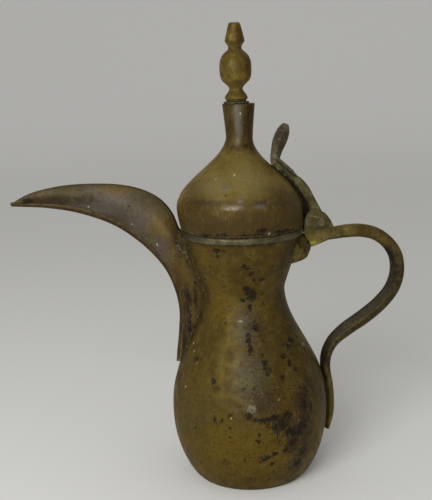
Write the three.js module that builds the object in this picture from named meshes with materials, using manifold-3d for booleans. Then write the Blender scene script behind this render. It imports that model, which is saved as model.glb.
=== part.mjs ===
// A long-beaked brass dallah: a waisted coffee pot with a hinged dome lid, in millimetres, +Z up.
// The origin is the centre of the flat base. The beak points to -X and the handle to +X.
import * as THREE from "three";
import { mergeVertices } from "three/addons/utils/BufferGeometryUtils.js";
import Module from "manifold-3d";

const wasm = await Module();
wasm.setup();

// Driving dimensions: the pot's body
const sheet = 1.3; // thickness of the hammered sheet
const fit = 0.3; // clearance between pieces that are brazed, soldered or riveted together
const baseRadius = 40.9;
const baseThickness = 1.6;
const bellyRadius = 56.6;
const bellyHeight = 48.5;
const waistRadius = 29.3;
const waistHeight = 138;
const waistCorner = 0.05; // how softly the wall turns at the waist, as a share of the wall above
const mouthRadius = 41.2;
const mouthHeight = 182.4;
const mouthForward = 2.1; // the hand-raised mouth sits this far towards the beak
const seamHeight = 66; // where the bowl is brazed to the waisted upper wall

// Driving dimensions: the bead round the mouth
const beadHeight = 5.3;
const beadProud = 2.1; // how far the bead stands out of the wall

// Driving dimensions: the lid
const lidRimRadius = 43.3;
const domeRadius = 44.5;
const domeRise = 13.8; // from the lid's rim up to its widest ring
const shoulderRise = 49.7; // from the widest ring up to the throat
const throatRadius = 9.3;
const neckRise = 22.5; // from the throat up to the neck's lip
const lipRadius = 11.3;
const domeForward = 1.8; // the hand-raised shoulder swells this far towards the beak
const collarDepth = 3.2; // how far the lid's collar drops into the mouth
const collarHeight = 7;
const collarPlay = 1.2;

// Driving dimensions: the finial
const finialForward = 1.4; // the cast finial sits a little off the neck's axis
const capRadius = 8.9;
const capThickness = 1.1;
const stemRadius = 6.8;
const stemHeight = 0.9;
const discRadius = 7.9;
const discHeight = 3.4;
const pinchRadius = 4.5;
const lowerPinchRise = 8.3;
const ballRadius = 10.9;
const ballRise = 22.4; // up to the ball's widest ring
const upperPinchRise = 35.1;
const flareRadius = 6.7;
const flareRise = 40.2;
const tipRadius = 3.9;
const finialHeight = 51.6;
const tangRadius = 2;
const tangLength = 6;
const washerRadius = 5;

// Driving dimensions: the beak
const beakReach = 164.4; // from the pot's axis to the tip
const beakCrestRise = 33.6; // from the mouth up to the highest point of the upper edge
const beakRootHeight = 84; // where the keel runs out on the flank
const beakSheet = 1.3;
const beakHalfWidth = 10; // the beak's fullest half width, beside the mouth
const keelHalfWidth = 2.7;
const keelDepth = 3.6;
const keelStandoff = 20; // from the waist's wall out to the keel
const slotHalfWidth = 4.4; // half of the pouring slot's width
const slotDrop = 10.4; // from the mouth down to the slot's top
const slotLength = 60;

// Driving dimensions: the hinge
const pinOut = 14.4; // from the mouth's wall out to the pin's axis
const pinLift = 2.1; // from the mouth up to the pin's axis
const pinRadius = 1.8;
const pinPlay = 0.06;
const pinHeadRadius = 2.7;
const pinHeadThickness = 0.7;
const cheekHalfSpan = 6.4; // from the middle out to the fork's outer face
const cheekUp = 9.3; // from the pin's axis up to the cheek's top
const cheekBack = 10; // from the pin's axis back to the cheek's edge over the bead
const cheekOut = 7.8; // from the pin's axis out to the cheek's round
const cheekDrop = 17.4; // from the pin's axis down to the fork's heel
const knuckleHalfWidth = 2.7;
const knuckleRadius = 4.3;
const slotPlay = 0.4;
const strapSeat = 0.6; // the strap stands this far off the lid's shoulder
const strapHalfWidth = 4.6;
const strapRootThickness = 6.9;
const strapTopThickness = 4.4;
const rivetRadius = 1.4;
const rivetHeadRadius = 2.3;
const rivetHeadThickness = 0.8;
const saddleDrop = 29.7; // from the pin's axis down to the saddle's lowest edge
const saddleHalfWidth = 13.4;
const saddleHalfHeight = 11;

// Driving dimensions: the thumb lever
const leverLength = 25.4;
const leverLean = THREE.MathUtils.degToRad(18.9);
const leverHalfWidth = 4.6;
const leverGrip = 9.9; // the tongue's greatest thickness
const footThickness = 2.2;

// Driving dimensions: the handle
const handleReach = 113.2; // from the pot's axis to the outside of the bend
const barDepth = 10;
const barHalfWidth = 4.8;
const tailTop = 76; // where the bar meets the belly
const tailEnd = 28.5;
const tailHalfWidth = 5.4;
const tailThickness = 5.4;

// Facets round a turned piece
const potFacets = 44;
const finialFacets = 20;
const rodFacets = 12;

const brass = (r, g, b, roughness) =>
  new THREE.MeshStandardMaterial({
    color: new THREE.Color(r, g, b),
    roughness,
    metalness: 0.85,
  });
const agedBrass = brass(0.34, 0.27, 0.11, 0.5);
const darkBrass = brass(0.2, 0.16, 0.1, 0.55);
const brightBrass = brass(0.42, 0.32, 0.12, 0.42);
const coppery = brass(0.3, 0.17, 0.09, 0.5);
const greyBrass = brass(0.29, 0.25, 0.19, 0.55);

const mix = THREE.MathUtils.lerp;
const share = (value) => THREE.MathUtils.clamp(value, 0, 1);
const smooth = (value) => THREE.MathUtils.smoothstep(value, 0, 1);
const evenly = (start, end, steps) =>
  Array.from({ length: steps + 1 }, (_, i) => mix(start, end, i / steps));

// The value at t of a table of [t, value] rows, straight between rows.
function along(table, t) {
  const next = Math.max(
    table.findIndex(([at]) => at >= t),
    1,
  );
  const [start, low] = table[next - 1];
  const [end, high] = table[next];
  return mix(low, high, (t - start) / (end - start));
}

// Solids and booleans
function solidFrom(geometry) {
  const bare = geometry.index ? geometry.toNonIndexed() : geometry.clone();
  bare.deleteAttribute("normal");
  bare.deleteAttribute("uv");
  const merged = mergeVertices(bare, 1e-4);
  const triangles = new Uint32Array(merged.index.array);
  const points = merged.attributes.position.array;
  const solid = manifoldOf(points, triangles);
  if (solid.volume() >= 0) return solid;
  for (let i = 0; i < triangles.length; i += 3) {
    [triangles[i + 1], triangles[i + 2]] = [triangles[i + 2], triangles[i + 1]];
  }
  return manifoldOf(points, triangles);
}

function manifoldOf(vertProperties, triVerts) {
  return new wasm.Manifold(new wasm.Mesh({ numProp: 3, vertProperties, triVerts }));
}

function geometryFrom(solid) {
  const mesh = solid.getMesh();
  const positions = new Float32Array(mesh.numVert * 3);
  for (let i = 0; i < mesh.numVert; i += 1) {
    const start = i * mesh.numProp;
    positions.set(mesh.vertProperties.subarray(start, start + 3), i * 3);
  }
  const geometry = new THREE.BufferGeometry();
  geometry.setAttribute("position", new THREE.BufferAttribute(positions, 3));
  geometry.setIndex(new THREE.BufferAttribute(new Uint32Array(mesh.triVerts), 1));
  geometry.computeVertexNormals();
  return geometry;
}

function largestOf(solid) {
  const bodies = solid.decompose();
  return bodies.reduce((a, b) => (a.volume() > b.volume() ? a : b), bodies[0]);
}

// A profile of [radius, height] rows turned about the Z axis.
function turned(profile, facets) {
  const points = profile.map(([radius, height]) => new THREE.Vector2(radius, height));
  return new THREE.LatheGeometry(points, facets).rotateX(Math.PI / 2);
}

// A round rod from one point of the XZ plane to another.
function rod([x1, z1], [x2, z2], radius) {
  const length = Math.hypot(x2 - x1, z2 - z1);
  const geometry = new THREE.CylinderGeometry(radius, radius, length, rodFacets);
  geometry.rotateX(Math.PI / 2).rotateY(Math.atan2(x2 - x1, z2 - z1));
  return solidFrom(geometry.translate((x1 + x2) / 2, 0, (z1 + z2) / 2));
}

// A rivet from the outside of its head to the end of its shank, both in the XZ plane.
function rivet([x1, z1], [x2, z2]) {
  const length = Math.hypot(x2 - x1, z2 - z1);
  const profile = [
    [0, 0],
    [rivetHeadRadius, 0],
    [rivetHeadRadius, rivetHeadThickness],
    [rivetRadius, rivetHeadThickness],
    [rivetRadius, length],
    [0, length],
  ];
  const geometry = turned(profile, rodFacets).rotateY(Math.atan2(x2 - x1, z2 - z1));
  return solidFrom(geometry.translate(x1, 0, z1));
}

// A rod along Y about the pin's axis.
function crossRod(radius, halfLength, y = 0) {
  const geometry = new THREE.CylinderGeometry(radius, radius, 2 * halfLength, 2 * rodFacets);
  return solidFrom(geometry.translate(pinX, y, pinHeight));
}

// An outline in the XZ plane, extruded evenly to both sides of Y = 0.
function plate(outline, halfWidth) {
  const shape = new THREE.Shape(outline.map(([x, z]) => new THREE.Vector2(x, z)));
  const options = { depth: 2 * halfWidth, bevelEnabled: false };
  const geometry = new THREE.ExtrudeGeometry(shape, options);
  return solidFrom(geometry.rotateX(Math.PI / 2).translate(0, halfWidth, 0));
}

// A closed skin over a row of sections. Each section runs out along one side and back along the
// other, so its end is closed by a strip between the two sides.
function loft(sections) {
  const size = sections[0].length;
  const index = [];
  for (let s = 0; s + 1 < sections.length; s += 1) {
    for (let i = 0; i < size; i += 1) {
      const a = s * size + i;
      const b = s * size + ((i + 1) % size);
      index.push(a, b, b + size, a, b + size, a + size);
    }
  }
  const last = (sections.length - 1) * size;
  for (let i = 0; i + 1 < size / 2; i += 1) {
    const back = size - 1 - i;
    index.push(i + 1, i, back, i + 1, back, back - 1);
    index.push(last + i, last + i + 1, last + back);
    index.push(last + i + 1, last + back - 1, last + back);
  }
  const geometry = new THREE.BufferGeometry();
  geometry.setAttribute("position", new THREE.Float32BufferAttribute(sections.flat(2), 3));
  geometry.setIndex(index);
  return solidFrom(geometry);
}

// A smooth line through a few points of the XZ plane.
function curveThrough(points) {
  return new THREE.CatmullRomCurve3(
    points.map(([x, z]) => new THREE.Vector3(x, 0, z)),
    false,
    "centripetal",
  );
}

// A bar with chamfered edges, swept along a line of the XZ plane as far as its share called end.
function bar(line, steps, thicknessAt, halfWidthAt, chamfer, end = 1) {
  const sections = evenly(0, end, steps).map((t) => {
    const point = line.getPointAt(t);
    const tangent = line.getTangentAt(t);
    const h = thicknessAt(t) / 2;
    const w = halfWidthAt(t);
    const cut = Math.min(chamfer, h * 0.6, w * 0.6);
    const side = [
      [h, w - cut],
      [h - cut, w],
      [cut - h, w],
      [-h, w - cut],
    ];
    const back = side.map(([out, y]) => [out, -y]).reverse();
    return [...side, ...back].map(([out, y]) => [
      point.x - tangent.z * out,
      y,
      point.z + tangent.x * out,
    ]);
  });
  return loft(sections);
}

// The body's outline: the bowl swells to the belly, draws in to the waist and opens to the mouth.
function bodyRadius(height) {
  if (height <= bellyHeight) {
    const rise = 1 - (1 - height / bellyHeight) ** 2;
    return mix(baseRadius, bellyRadius, rise ** 0.8);
  }
  if (height <= waistHeight) {
    const t = (height - bellyHeight) / (waistHeight - bellyHeight);
    return mix(waistRadius, bellyRadius, (1 + Math.cos(Math.PI * t ** 1.17)) / 2);
  }
  const t = share((height - waistHeight) / (mouthHeight - waistHeight));
  const whole = Math.hypot(1, waistCorner) - waistCorner;
  const rise = (Math.hypot(t, waistCorner) - waistCorner) / whole;
  return mix(waistRadius, mouthRadius, 1 - (1 - rise) ** 1.3);
}

// How far the wall's centre has moved towards the beak at a height.
function bodyShift(height) {
  return -mouthForward * smooth((height - seamHeight) / (waistHeight - seamHeight));
}

// Where the outside of the wall is: side is -1 towards the beak and 1 towards the handle.
const wallX = (side, height) => bodyShift(height) + side * bodyRadius(height);

// The lid's outline, from its rim up to the neck's lip.
const lidFoot = mouthHeight + fit;
const throatRise = domeRise + shoulderRise;
const lidHeight = throatRise + neckRise;
const lidRises = [
  0,
  domeRise / 2,
  ...evenly(domeRise, throatRise, 10),
  throatRise + neckRise / 2,
  lidHeight,
];

function lidRadius(rise) {
  if (rise <= domeRise) {
    return mix(lidRimRadius, domeRadius, Math.sin((Math.PI / 2) * (rise / domeRise)));
  }
  if (rise <= throatRise) {
    const t = (rise - domeRise) / shoulderRise;
    return mix(throatRadius, domeRadius, (1 + Math.cos(Math.PI * t ** 1.04)) / 2);
  }
  return mix(throatRadius, lipRadius, ((rise - throatRise) / neckRise) ** 1.2);
}

function lidShift(rise) {
  return -mouthForward - domeForward * Math.sin(Math.PI * share(rise / throatRise));
}

// A point off the lid's handle side: at a share of the shoulder, a distance out of its surface.
function offLid(shoulderShare, distance) {
  const rise = domeRise + shoulderRise * shoulderShare;
  const edge = (at) => lidShift(at) + lidRadius(at);
  const run = edge(rise + sheet) - edge(rise - sheet);
  const normal = new THREE.Vector2(2 * sheet, -run).normalize();
  return [edge(rise) + distance * normal.x, lidFoot + rise + distance * normal.y];
}

// Moves each point of a turned piece by what its height asks for.
function shifted(geometry, shiftAt) {
  const position = geometry.getAttribute("position");
  for (let i = 0; i < position.count; i += 1) {
    position.setX(i, position.getX(i) + shiftAt(position.getZ(i)));
  }
  return geometry;
}

const withBody = (geometry) => shifted(geometry, bodyShift);
const withLid = (geometry) => shifted(geometry, (height) => lidShift(height - lidFoot));
const withMouth = (geometry) => geometry.translate(-mouthForward, 0, 0);

// A closed profile of sheet whose outside follows a radius. The inside may take fewer heights.
function sheetProfile(heights, insideHeights, radiusAt) {
  const outer = heights.map((height) => [radiusAt(height), height]);
  const inner = insideHeights.map((height) => [radiusAt(height) - sheet, height]);
  return [...outer, ...inner.reverse(), outer[0]];
}

const everyOther = (list) => list.filter((_, i) => i % 2 === 0);

// The whole body as one solid, grown by a clearance, to cut whatever is seated on it.
function bodyEnvelope(clearance) {
  const wall = evenly(0, mouthHeight, 36).map((height) => [
    bodyRadius(height) + clearance,
    height,
  ]);
  const profile = [[0, -clearance], [baseRadius, -clearance], ...wall, [0, mouthHeight]];
  return solidFrom(withBody(turned(profile, potFacets)));
}

function lidEnvelope(clearance) {
  const wall = lidRises.map((rise) => [lidRadius(rise) + clearance, lidFoot + rise]);
  const low = lidFoot - clearance;
  const top = lidFoot + lidHeight;
  const profile = [[0, low], [lidRimRadius + clearance, low], ...wall, [0, top]];
  return solidFrom(withLid(turned(profile, potFacets)));
}

// The bead and the lid's lower wall with a clearance, to keep the beak's root clear of both.
function mouthEnvelope() {
  const bead = mouthRadius + beadProud + 2 * fit;
  const dome = domeRadius + domeForward + 2 * fit;
  const bottom = mouthHeight - beadHeight - fit;
  const top = lidFoot + throatRise;
  const profile = [
    [0, bottom],
    [bead, bottom],
    [bead, lidFoot],
    [dome, lidFoot + domeRise / 2],
    [dome, top],
    [0, top],
  ];
  return solidFrom(withMouth(turned(profile, potFacets)));
}

// The pot
function bodyLower() {
  const heights = evenly(0, seamHeight, 10);
  const profile = sheetProfile(heights, everyOther(heights), bodyRadius);
  return solidFrom(withBody(turned(profile, potFacets))).subtract(tailRivetHoles());
}

function bodyUpper() {
  const softening = 3 * waistCorner * (mouthHeight - waistHeight);
  const heights = [
    ...evenly(seamHeight + fit, waistHeight - 2 * softening, 5),
    ...evenly(waistHeight - softening, waistHeight + softening, 3),
    ...evenly(waistHeight + 2 * softening, mouthHeight, 3),
  ];
  const profile = sheetProfile(heights, [...heights], bodyRadius);
  const wall = solidFrom(withBody(turned(profile, potFacets)));
  return wall.subtract(pouringSlot()).subtract(tailRivetHoles());
}

// The tapered slot through which the neck pours into the beak.
function pouringSlot() {
  const top = mouthHeight - slotDrop;
  const shape = new THREE.Shape();
  shape.moveTo(-slotHalfWidth, top - slotHalfWidth);
  shape.quadraticCurveTo(-slotHalfWidth, top, 0, top);
  shape.quadraticCurveTo(slotHalfWidth, top, slotHalfWidth, top - slotHalfWidth);
  shape.lineTo(0, top - slotLength);
  const options = { depth: mouthRadius, bevelEnabled: false, curveSegments: 3 };
  const geometry = new THREE.ExtrudeGeometry(shape, options);
  geometry.rotateX(Math.PI / 2).rotateZ(Math.PI / 2);
  return solidFrom(geometry.translate(-mouthRadius - waistRadius / 2, 0, 0));
}

function baseDisc() {
  const radius = baseRadius - sheet - fit;
  const profile = [
    [0, 0],
    [radius, 0],
    [radius, baseThickness],
    [0, baseThickness],
  ];
  return solidFrom(turned(profile, potFacets));
}

function rimBead() {
  const middle = mouthHeight - beadHeight / 2;
  const inner = mouthRadius + fit;
  const round = evenly(-Math.PI / 2, Math.PI / 2, 6).map((angle) => [
    inner + beadProud * mix(0.25, 1, Math.cos(angle)),
    middle + (beadHeight / 2) * Math.sin(angle),
  ]);
  const profile = [...round, [inner, mouthHeight], [inner, mouthHeight - beadHeight], round[0]];
  return solidFrom(withMouth(turned(profile, potFacets)));
}

// The beak. Along its free length a point is placed by its shares of the reach and of the crest's
// rise. Beside the waist it is placed by its shares of the height and of the keel's stand-off.
const beakRootX = wallX(-1, mouthHeight);
const beakOut = (outShare, riseShare) => [
  mix(beakRootX, -beakReach, outShare),
  mouthHeight + beakCrestRise * riseShare,
];
const beakBeside = (upShare, standShare) => {
  const height = mix(beakRootHeight, mouthHeight, upShare);
  return [wallX(-1, height) - keelStandoff * standShare, height];
};
const keelLine = curveThrough([
  beakOut(1, 0.598),
  beakOut(0.79, 0.539),
  beakOut(0.6, 0.402),
  beakOut(0.41, 0.131),
  beakOut(0.282, -0.196),
  beakOut(0.188, -0.53),
  beakOut(0.118, -0.875),
  beakBeside(0.559, 1.02),
  beakBeside(0.407, 0.79),
  beakBeside(0.224, 0.5),
  beakBeside(0.081, 0.27),
  beakBeside(0, 0.145),
]);
const upperLine = curveThrough([
  beakOut(1, 0.63),
  beakOut(0.88, 0.854),
  beakOut(0.7, 0.982),
  beakOut(0.5, 1),
  beakOut(0.336, 0.946),
  beakOut(0.212, 0.81),
  beakOut(0.125, 0.607),
  beakOut(0.064, 0.315),
  beakOut(0.027, -0.042),
]);
const beakShare = 0.66; // the share of the keel's length that lies under the free upper edge
const beakSteps = 24;
const middleWidths = [
  [0, 0.16],
  [0.12, 0.42],
  [0.25, 0.68],
  [0.45, 0.86],
  [0.62, 1],
  [0.74, 0.8],
  [0.87, 0.53],
  [1, 0.3],
];
const upperWidths = [
  [0, 0.15],
  [0.1, 0.27],
  [0.25, 0.35],
  [0.5, 0.37],
  [beakShare, 0.44],
  [1, 0.3],
];

// A station of the beak, from the tip at 0 to the keel's lower end at 1.
function beakStation(t) {
  const keel = keelLine.getPointAt(t);
  const upper = upperLine.getPointAt(share(t / beakShare));
  const below = share((t - beakShare) / (1 - beakShare));
  if (below > 0) {
    const height = mix(upper.z, beakRootHeight, below);
    upper.set(wallX(-1, height) + 3 * sheet, 0, height);
  }
  const up = upper.clone().sub(keel);
  const depth = Math.max(up.length(), 2 * sheet);
  return { t, keel, up: up.normalize(), depth };
}

const beakRow = evenly(0, 1, beakSteps).map(beakStation);

// A point of a station at a depth above the keel and a distance out to one side.
function beakPoint({ keel, up }, depth, side) {
  const point = keel.clone().addScaledVector(up, depth);
  return [point.x, side, point.z];
}

function beakWall(side) {
  const sections = beakRow.map((station) => {
    const middle = beakHalfWidth * along(middleWidths, station.t);
    const high = beakHalfWidth * along(upperWidths, station.t);
    const low = Math.min(keelHalfWidth, middle) * 0.7;
    const start = Math.min(keelDepth * 0.6, station.depth * 0.3);
    const bulge = middle - (low + high) / 2;
    const outer = evenly(0, 1, 4).map((s) => [
      mix(start, station.depth, s),
      mix(low, high, s) + bulge * Math.sin(Math.PI * s),
    ]);
    const inner = outer.map(([depth, width]) => [depth, Math.max(width - beakSheet, fit)]);
    const ring = [...outer, ...inner.reverse()];
    return ring.map(([depth, width]) => beakPoint(station, depth, side * width));
  });
  return loft(sections);
}

function beakSide(side) {
  const wall = beakWall(side)
    .subtract(bodyEnvelope(fit))
    .subtract(mouthEnvelope())
    .subtract(keelStrip(fit));
  return largestOf(wall);
}

// The keel is a folded strip along the beak's underside. Grown by a clearance it trims the walls.
function keelStrip(clearance) {
  const sections = beakRow.map((station) => {
    const fineTip = mix(0.42, 1, share(station.t * 4));
    const fineRoot = mix(1, 0.7, smooth((station.t - 0.8) * 5));
    const width = keelHalfWidth * fineTip * fineRoot + clearance;
    const depth = Math.min(keelDepth * fineTip * fineRoot, station.depth * 0.45);
    const low = beakPoint(station, -clearance, -width * 0.5);
    const middle = beakPoint(station, depth * 0.4 - clearance, -width * 0.9);
    const high = beakPoint(station, depth + clearance, -width);
    const side = [low, middle, high];
    const back = side.map(([x, y, z]) => [x, -y, z]).reverse();
    return [...side, ...back];
  });
  return loft(sections);
}

function beakKeel() {
  return largestOf(keelStrip(0).subtract(bodyEnvelope(fit)));
}

// The lid
function lidShell() {
  const heights = lidRises.map((rise) => lidFoot + rise);
  const radiusAt = (height) => lidRadius(height - lidFoot);
  const profile = sheetProfile(heights, everyOther(heights), radiusAt);
  return solidFrom(withLid(turned(profile, potFacets))).subtract(strapRivetHoles());
}

// A turned flange inside the lid: it drops into the mouth and is brazed to the lid's lower wall.
function lidCollar() {
  const outer = mouthRadius - sheet - collarPlay;
  const bottom = lidFoot - collarDepth;
  const rise = collarHeight - collarDepth;
  const foot = lidRimRadius - sheet - fit;
  const top = mix(foot, domeRadius - sheet - fit, rise / domeRise);
  const profile = [
    [outer - sheet, bottom],
    [outer, bottom],
    [outer, lidFoot],
    [foot, lidFoot + fit],
    [top, lidFoot + rise],
    [top - sheet, lidFoot + rise],
    [outer - sheet, lidFoot + sheet],
    [outer - sheet, bottom],
  ];
  return solidFrom(withLid(turned(profile, potFacets)));
}

const capFoot = lidFoot + lidHeight + fit;
const finialFoot = capFoot + capThickness + fit;
const finialX = -mouthForward - finialForward;
const tangHole = tangRadius + fit / 2;

function neckCap() {
  const profile = [
    [tangHole, capFoot],
    [capRadius, capFoot],
    [capRadius, capFoot + capThickness / 2],
    [capRadius - capThickness / 2, capFoot + capThickness],
    [tangHole, capFoot + capThickness],
    [tangHole, capFoot],
  ];
  return solidFrom(turned(profile, finialFacets).translate(finialX, 0, 0));
}

// The ball's outline as shares: out from a pinch to the widest ring, and down or up from that ring
// to the lower or the upper pinch. It is conical below and square in the shoulders.
const ballBelow = [
  [0, 0.94],
  [0.3, 0.77],
  [0.67, 0.54],
  [0.91, 0.33],
  [1, 0.12],
];
const ballAbove = [
  [1, 0.1],
  [0.94, 0.26],
  [0.79, 0.46],
  [0.55, 0.65],
  [0.24, 0.82],
  [0.04, 0.93],
];

function finial() {
  const out = (at) => mix(pinchRadius, ballRadius, at);
  const outline = [
    [0, -tangLength],
    [tangRadius, -tangLength],
    [tangRadius, 0],
    [stemRadius, 0],
    [stemRadius, stemHeight],
    [discRadius, mix(stemHeight, discHeight, 0.3)],
    [discRadius, mix(stemHeight, discHeight, 0.7)],
    [stemRadius, discHeight],
    [mix(stemRadius, pinchRadius, 0.7), mix(discHeight, lowerPinchRise, 0.45)],
    [pinchRadius, lowerPinchRise - stemHeight],
    ...ballBelow.map(([at, down]) => [out(at), mix(ballRise, lowerPinchRise, down)]),
    ...ballAbove.map(([at, up]) => [out(at), mix(ballRise, upperPinchRise, up)]),
    [pinchRadius, upperPinchRise + stemHeight],
    [mix(pinchRadius, flareRadius, 0.6), mix(upperPinchRise, flareRise, 0.6)],
    [flareRadius, flareRise],
    [tipRadius, finialHeight - stemHeight],
    [tipRadius - stemHeight, finialHeight],
    [0, finialHeight],
  ];
  const profile = outline.map(([radius, rise]) => [radius, finialFoot + rise]);
  return solidFrom(turned(profile, finialFacets).translate(finialX, 0, 0));
}

// The washer inside the neck, over which the finial's tang is peened.
function tangWasher() {
  const top = capFoot - fit;
  const profile = [
    [tangHole, top - sheet],
    [washerRadius, top - sheet],
    [washerRadius, top],
    [tangHole, top],
    [tangHole, top - sheet],
  ];
  return solidFrom(turned(profile, finialFacets).translate(finialX, 0, 0));
}

// The hinge: the strap on the lid ends in a knuckle that turns between the handle's two cheeks.
const pinX = wallX(1, mouthHeight) + pinOut;
const pinHeight = mouthHeight + pinLift;
const strapLanding = offLid(0.18, 2 * strapSeat + strapRootThickness / 2);
const strapLine = curveThrough([
  [pinX, pinHeight],
  [mix(pinX, strapLanding[0], 0.4), mix(pinHeight, strapLanding[1], 0.4)],
  [mix(pinX, strapLanding[0], 0.75), mix(pinHeight, strapLanding[1], 0.75)],
  strapLanding,
  offLid(0.28, strapSeat + strapRootThickness / 2),
  offLid(0.36, strapSeat + strapTopThickness / 2),
  offLid(0.48, strapSeat + strapTopThickness / 2),
  offLid(0.6, strapSeat + strapTopThickness / 2),
]);
const strapThicknesses = [
  [0, 2 * knuckleRadius],
  [0.3, strapRootThickness * 1.1],
  [0.45, strapRootThickness],
  [0.61, strapRootThickness],
  [0.67, strapTopThickness],
  [1, strapTopThickness],
];

function strapBar(extra, halfWidthAt, end) {
  const thicknessAt = (t) => along(strapThicknesses, t) + extra;
  return bar(strapLine, 22, thicknessAt, halfWidthAt, strapTopThickness * 0.2, end);
}

function lidStrap() {
  const halfWidthAt = (t) =>
    mix(knuckleHalfWidth, strapHalfWidth, smooth((t - 0.25) / 0.14));
  return strapBar(0, halfWidthAt, 0.985)
    .add(crossRod(knuckleRadius, knuckleHalfWidth))
    .subtract(lidEnvelope(fit))
    .subtract(crossRod(pinRadius + pinPlay, cheekHalfSpan))
    .subtract(strapRivetHoles());
}

function hingePin() {
  const headY = cheekHalfSpan + fit + pinHeadThickness / 2;
  return crossRod(pinRadius, headY)
    .add(crossRod(pinHeadRadius, pinHeadThickness / 2, headY))
    .add(crossRod(pinHeadRadius, pinHeadThickness / 2, -headY));
}

// Rivets through the lever's foot, the strap and the lid, each square to the lid's shoulder.
const strapRivetShares = [0.4, 0.52];
const footSeat = strapSeat + strapTopThickness + fit;

function strapRivetHoles() {
  const holes = strapRivetShares.map((at) =>
    rod(offLid(at, -4 * sheet), offLid(at, 2 * footSeat), rivetRadius + fit / 2),
  );
  return holes[0].add(holes[1]);
}

function strapRivet(index) {
  const at = strapRivetShares[index];
  const foot = offLid(at, -sheet - fit - rivetHeadThickness);
  return rivet(foot, offLid(at, footSeat + footThickness));
}

// The thumb lever: a foot that lies along the strap, bent up into an eight-sided tongue.
const leverGrips = [
  [0, 0.64],
  [0.25, 0.81],
  [0.46, 0.97],
  [0.63, 1],
  [0.77, 0.91],
  [0.9, 0.68],
  [1, 0.36],
];

function thumbLever() {
  const heel = offLid(0.595, footSeat);
  const run = leverLength * Math.sin(leverLean);
  const rise = leverLength * Math.cos(leverLean);
  const leverLine = curveThrough([
    heel,
    [heel[0] + 0.24 * run, heel[1] + 0.33 * rise],
    [heel[0] + run, heel[1] + rise],
  ]);
  const tongue = bar(
    leverLine,
    12,
    (t) => leverGrip * along(leverGrips, t),
    (t) => leverHalfWidth * Math.min(mix(0.8, 1, t * 2), 1, (1.24 - t) * 2.6),
    leverGrip * 0.29,
  );
  const foot = bar(
    curveThrough([0.32, 0.41, 0.5, 0.61].map((at) => offLid(at, footSeat + footThickness / 2))),
    6,
    (t) => footThickness * mix(0.6, 1, share(t * 3)),
    () => leverHalfWidth,
    footThickness * 0.2,
  );
  const lever = tongue
    .add(foot)
    .subtract(strapBar(2 * fit, () => strapHalfWidth + fit, 1))
    .subtract(lidEnvelope(fit))
    .subtract(strapRivetHoles());
  return largestOf(lever);
}

// The handle: a cast bar that forks into two cheeks at the hinge and lies on the belly as a tail.
// A point of the loop is placed by its shares of the way out to the bend and up to the pin.
const handleOut = (outShare, upShare) => [
  mix(pinX, handleReach - barDepth / 2, outShare),
  mix(tailTop, pinHeight, upShare),
];
const tailDepths = [
  [0, tailThickness * 1.3],
  [0.2, tailThickness * 1.04],
  [0.8, tailThickness * 0.95],
  [1, tailThickness * 0.72],
];
const tailPoint = (at) => {
  const height = mix(tailTop, tailEnd, at);
  return [wallX(1, height) + fit + along(tailDepths, at) / 2, height];
};
const handleLine = curveThrough([
  handleOut(0.06, 0.909),
  handleOut(0.327, 0.927),
  handleOut(0.539, 0.927),
  handleOut(0.726, 0.9),
  handleOut(0.879, 0.839),
  handleOut(0.978, 0.756),
  handleOut(1, 0.645),
  handleOut(0.941, 0.538),
  handleOut(0.795, 0.439),
  handleOut(0.567, 0.341),
  handleOut(0.329, 0.258),
  handleOut(0.155, 0.179),
  handleOut(0.068, 0.092),
  ...evenly(0, 1, 4).map(tailPoint),
]);
const tailShare = evenly(0.5, 1, 100).find((t) => handleLine.getPointAt(t).z <= tailTop);
const barDepths = [
  [0, 0.78],
  [0.1, 0.88],
  [0.22, 0.88],
  [0.36, 0.96],
  [0.5, 1.02],
  [0.7, 1.06],
  [0.8, 1],
  [0.88, 0.84],
  [1, 0.7],
];

function barDepthAt(t) {
  if (t < tailShare) return barDepth * along(barDepths, t / tailShare);
  return along(tailDepths, (t - tailShare) / (1 - tailShare));
}

// The cheeks' outline, from the heel over the pin and back along the edge above the bead.
const heelLow = [pinX - cheekBack * 0.73, pinHeight - cheekDrop];
const heelHigh = [pinX - cheekBack, pinHeight - cheekDrop * 0.44];
const cheekOutline = [
  heelLow,
  [pinX + cheekOut * 0.85, pinHeight - cheekDrop * 0.7],
  [pinX + cheekOut * 1.7, pinHeight - cheekDrop * 0.62],
  [pinX + cheekOut * 1.7, pinHeight - cheekDrop * 0.36],
  [pinX + cheekOut * 1.33, pinHeight - cheekDrop * 0.38],
  [pinX + cheekOut, pinHeight - cheekUp * 0.1],
  [pinX + cheekOut * 0.7, pinHeight + cheekUp * 0.36],
  [pinX + cheekOut * 0.24, pinHeight + cheekUp * 0.64],
  [pinX - cheekBack * 0.3, pinHeight + cheekUp * 0.95],
  [pinX - cheekBack * 0.65, pinHeight + cheekUp],
  [pinX - cheekBack * 0.92, pinHeight + cheekUp * 0.66],
  [pinX - cheekBack, pinHeight],
  heelHigh,
];

// The space between the cheeks, in which the knuckle turns.
function knuckleSlot() {
  const floor = pinHeight - knuckleRadius - slotPlay;
  const top = pinHeight + 2 * cheekUp;
  const left = pinX - 2 * cheekBack;
  const right = pinX + cheekOut * 1.1;
  const outline = [
    [left, floor],
    [right, floor],
    [right, top],
    [left, top],
  ];
  return plate(outline, knuckleHalfWidth + slotPlay);
}

function handle() {
  const halfWidthAt = (t) =>
    mix(barHalfWidth, tailHalfWidth, smooth((t - tailShare) / (1 - tailShare)));
  const rail = bar(handleLine, 44, barDepthAt, halfWidthAt, barDepth * 0.23);
  return plate(cheekOutline, cheekHalfSpan)
    .add(rail)
    .subtract(knuckleSlot())
    .subtract(crossRod(pinRadius + pinPlay, 2 * cheekHalfSpan))
    .subtract(bodyEnvelope(fit))
    .subtract(tailRivetHoles());
}

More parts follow.
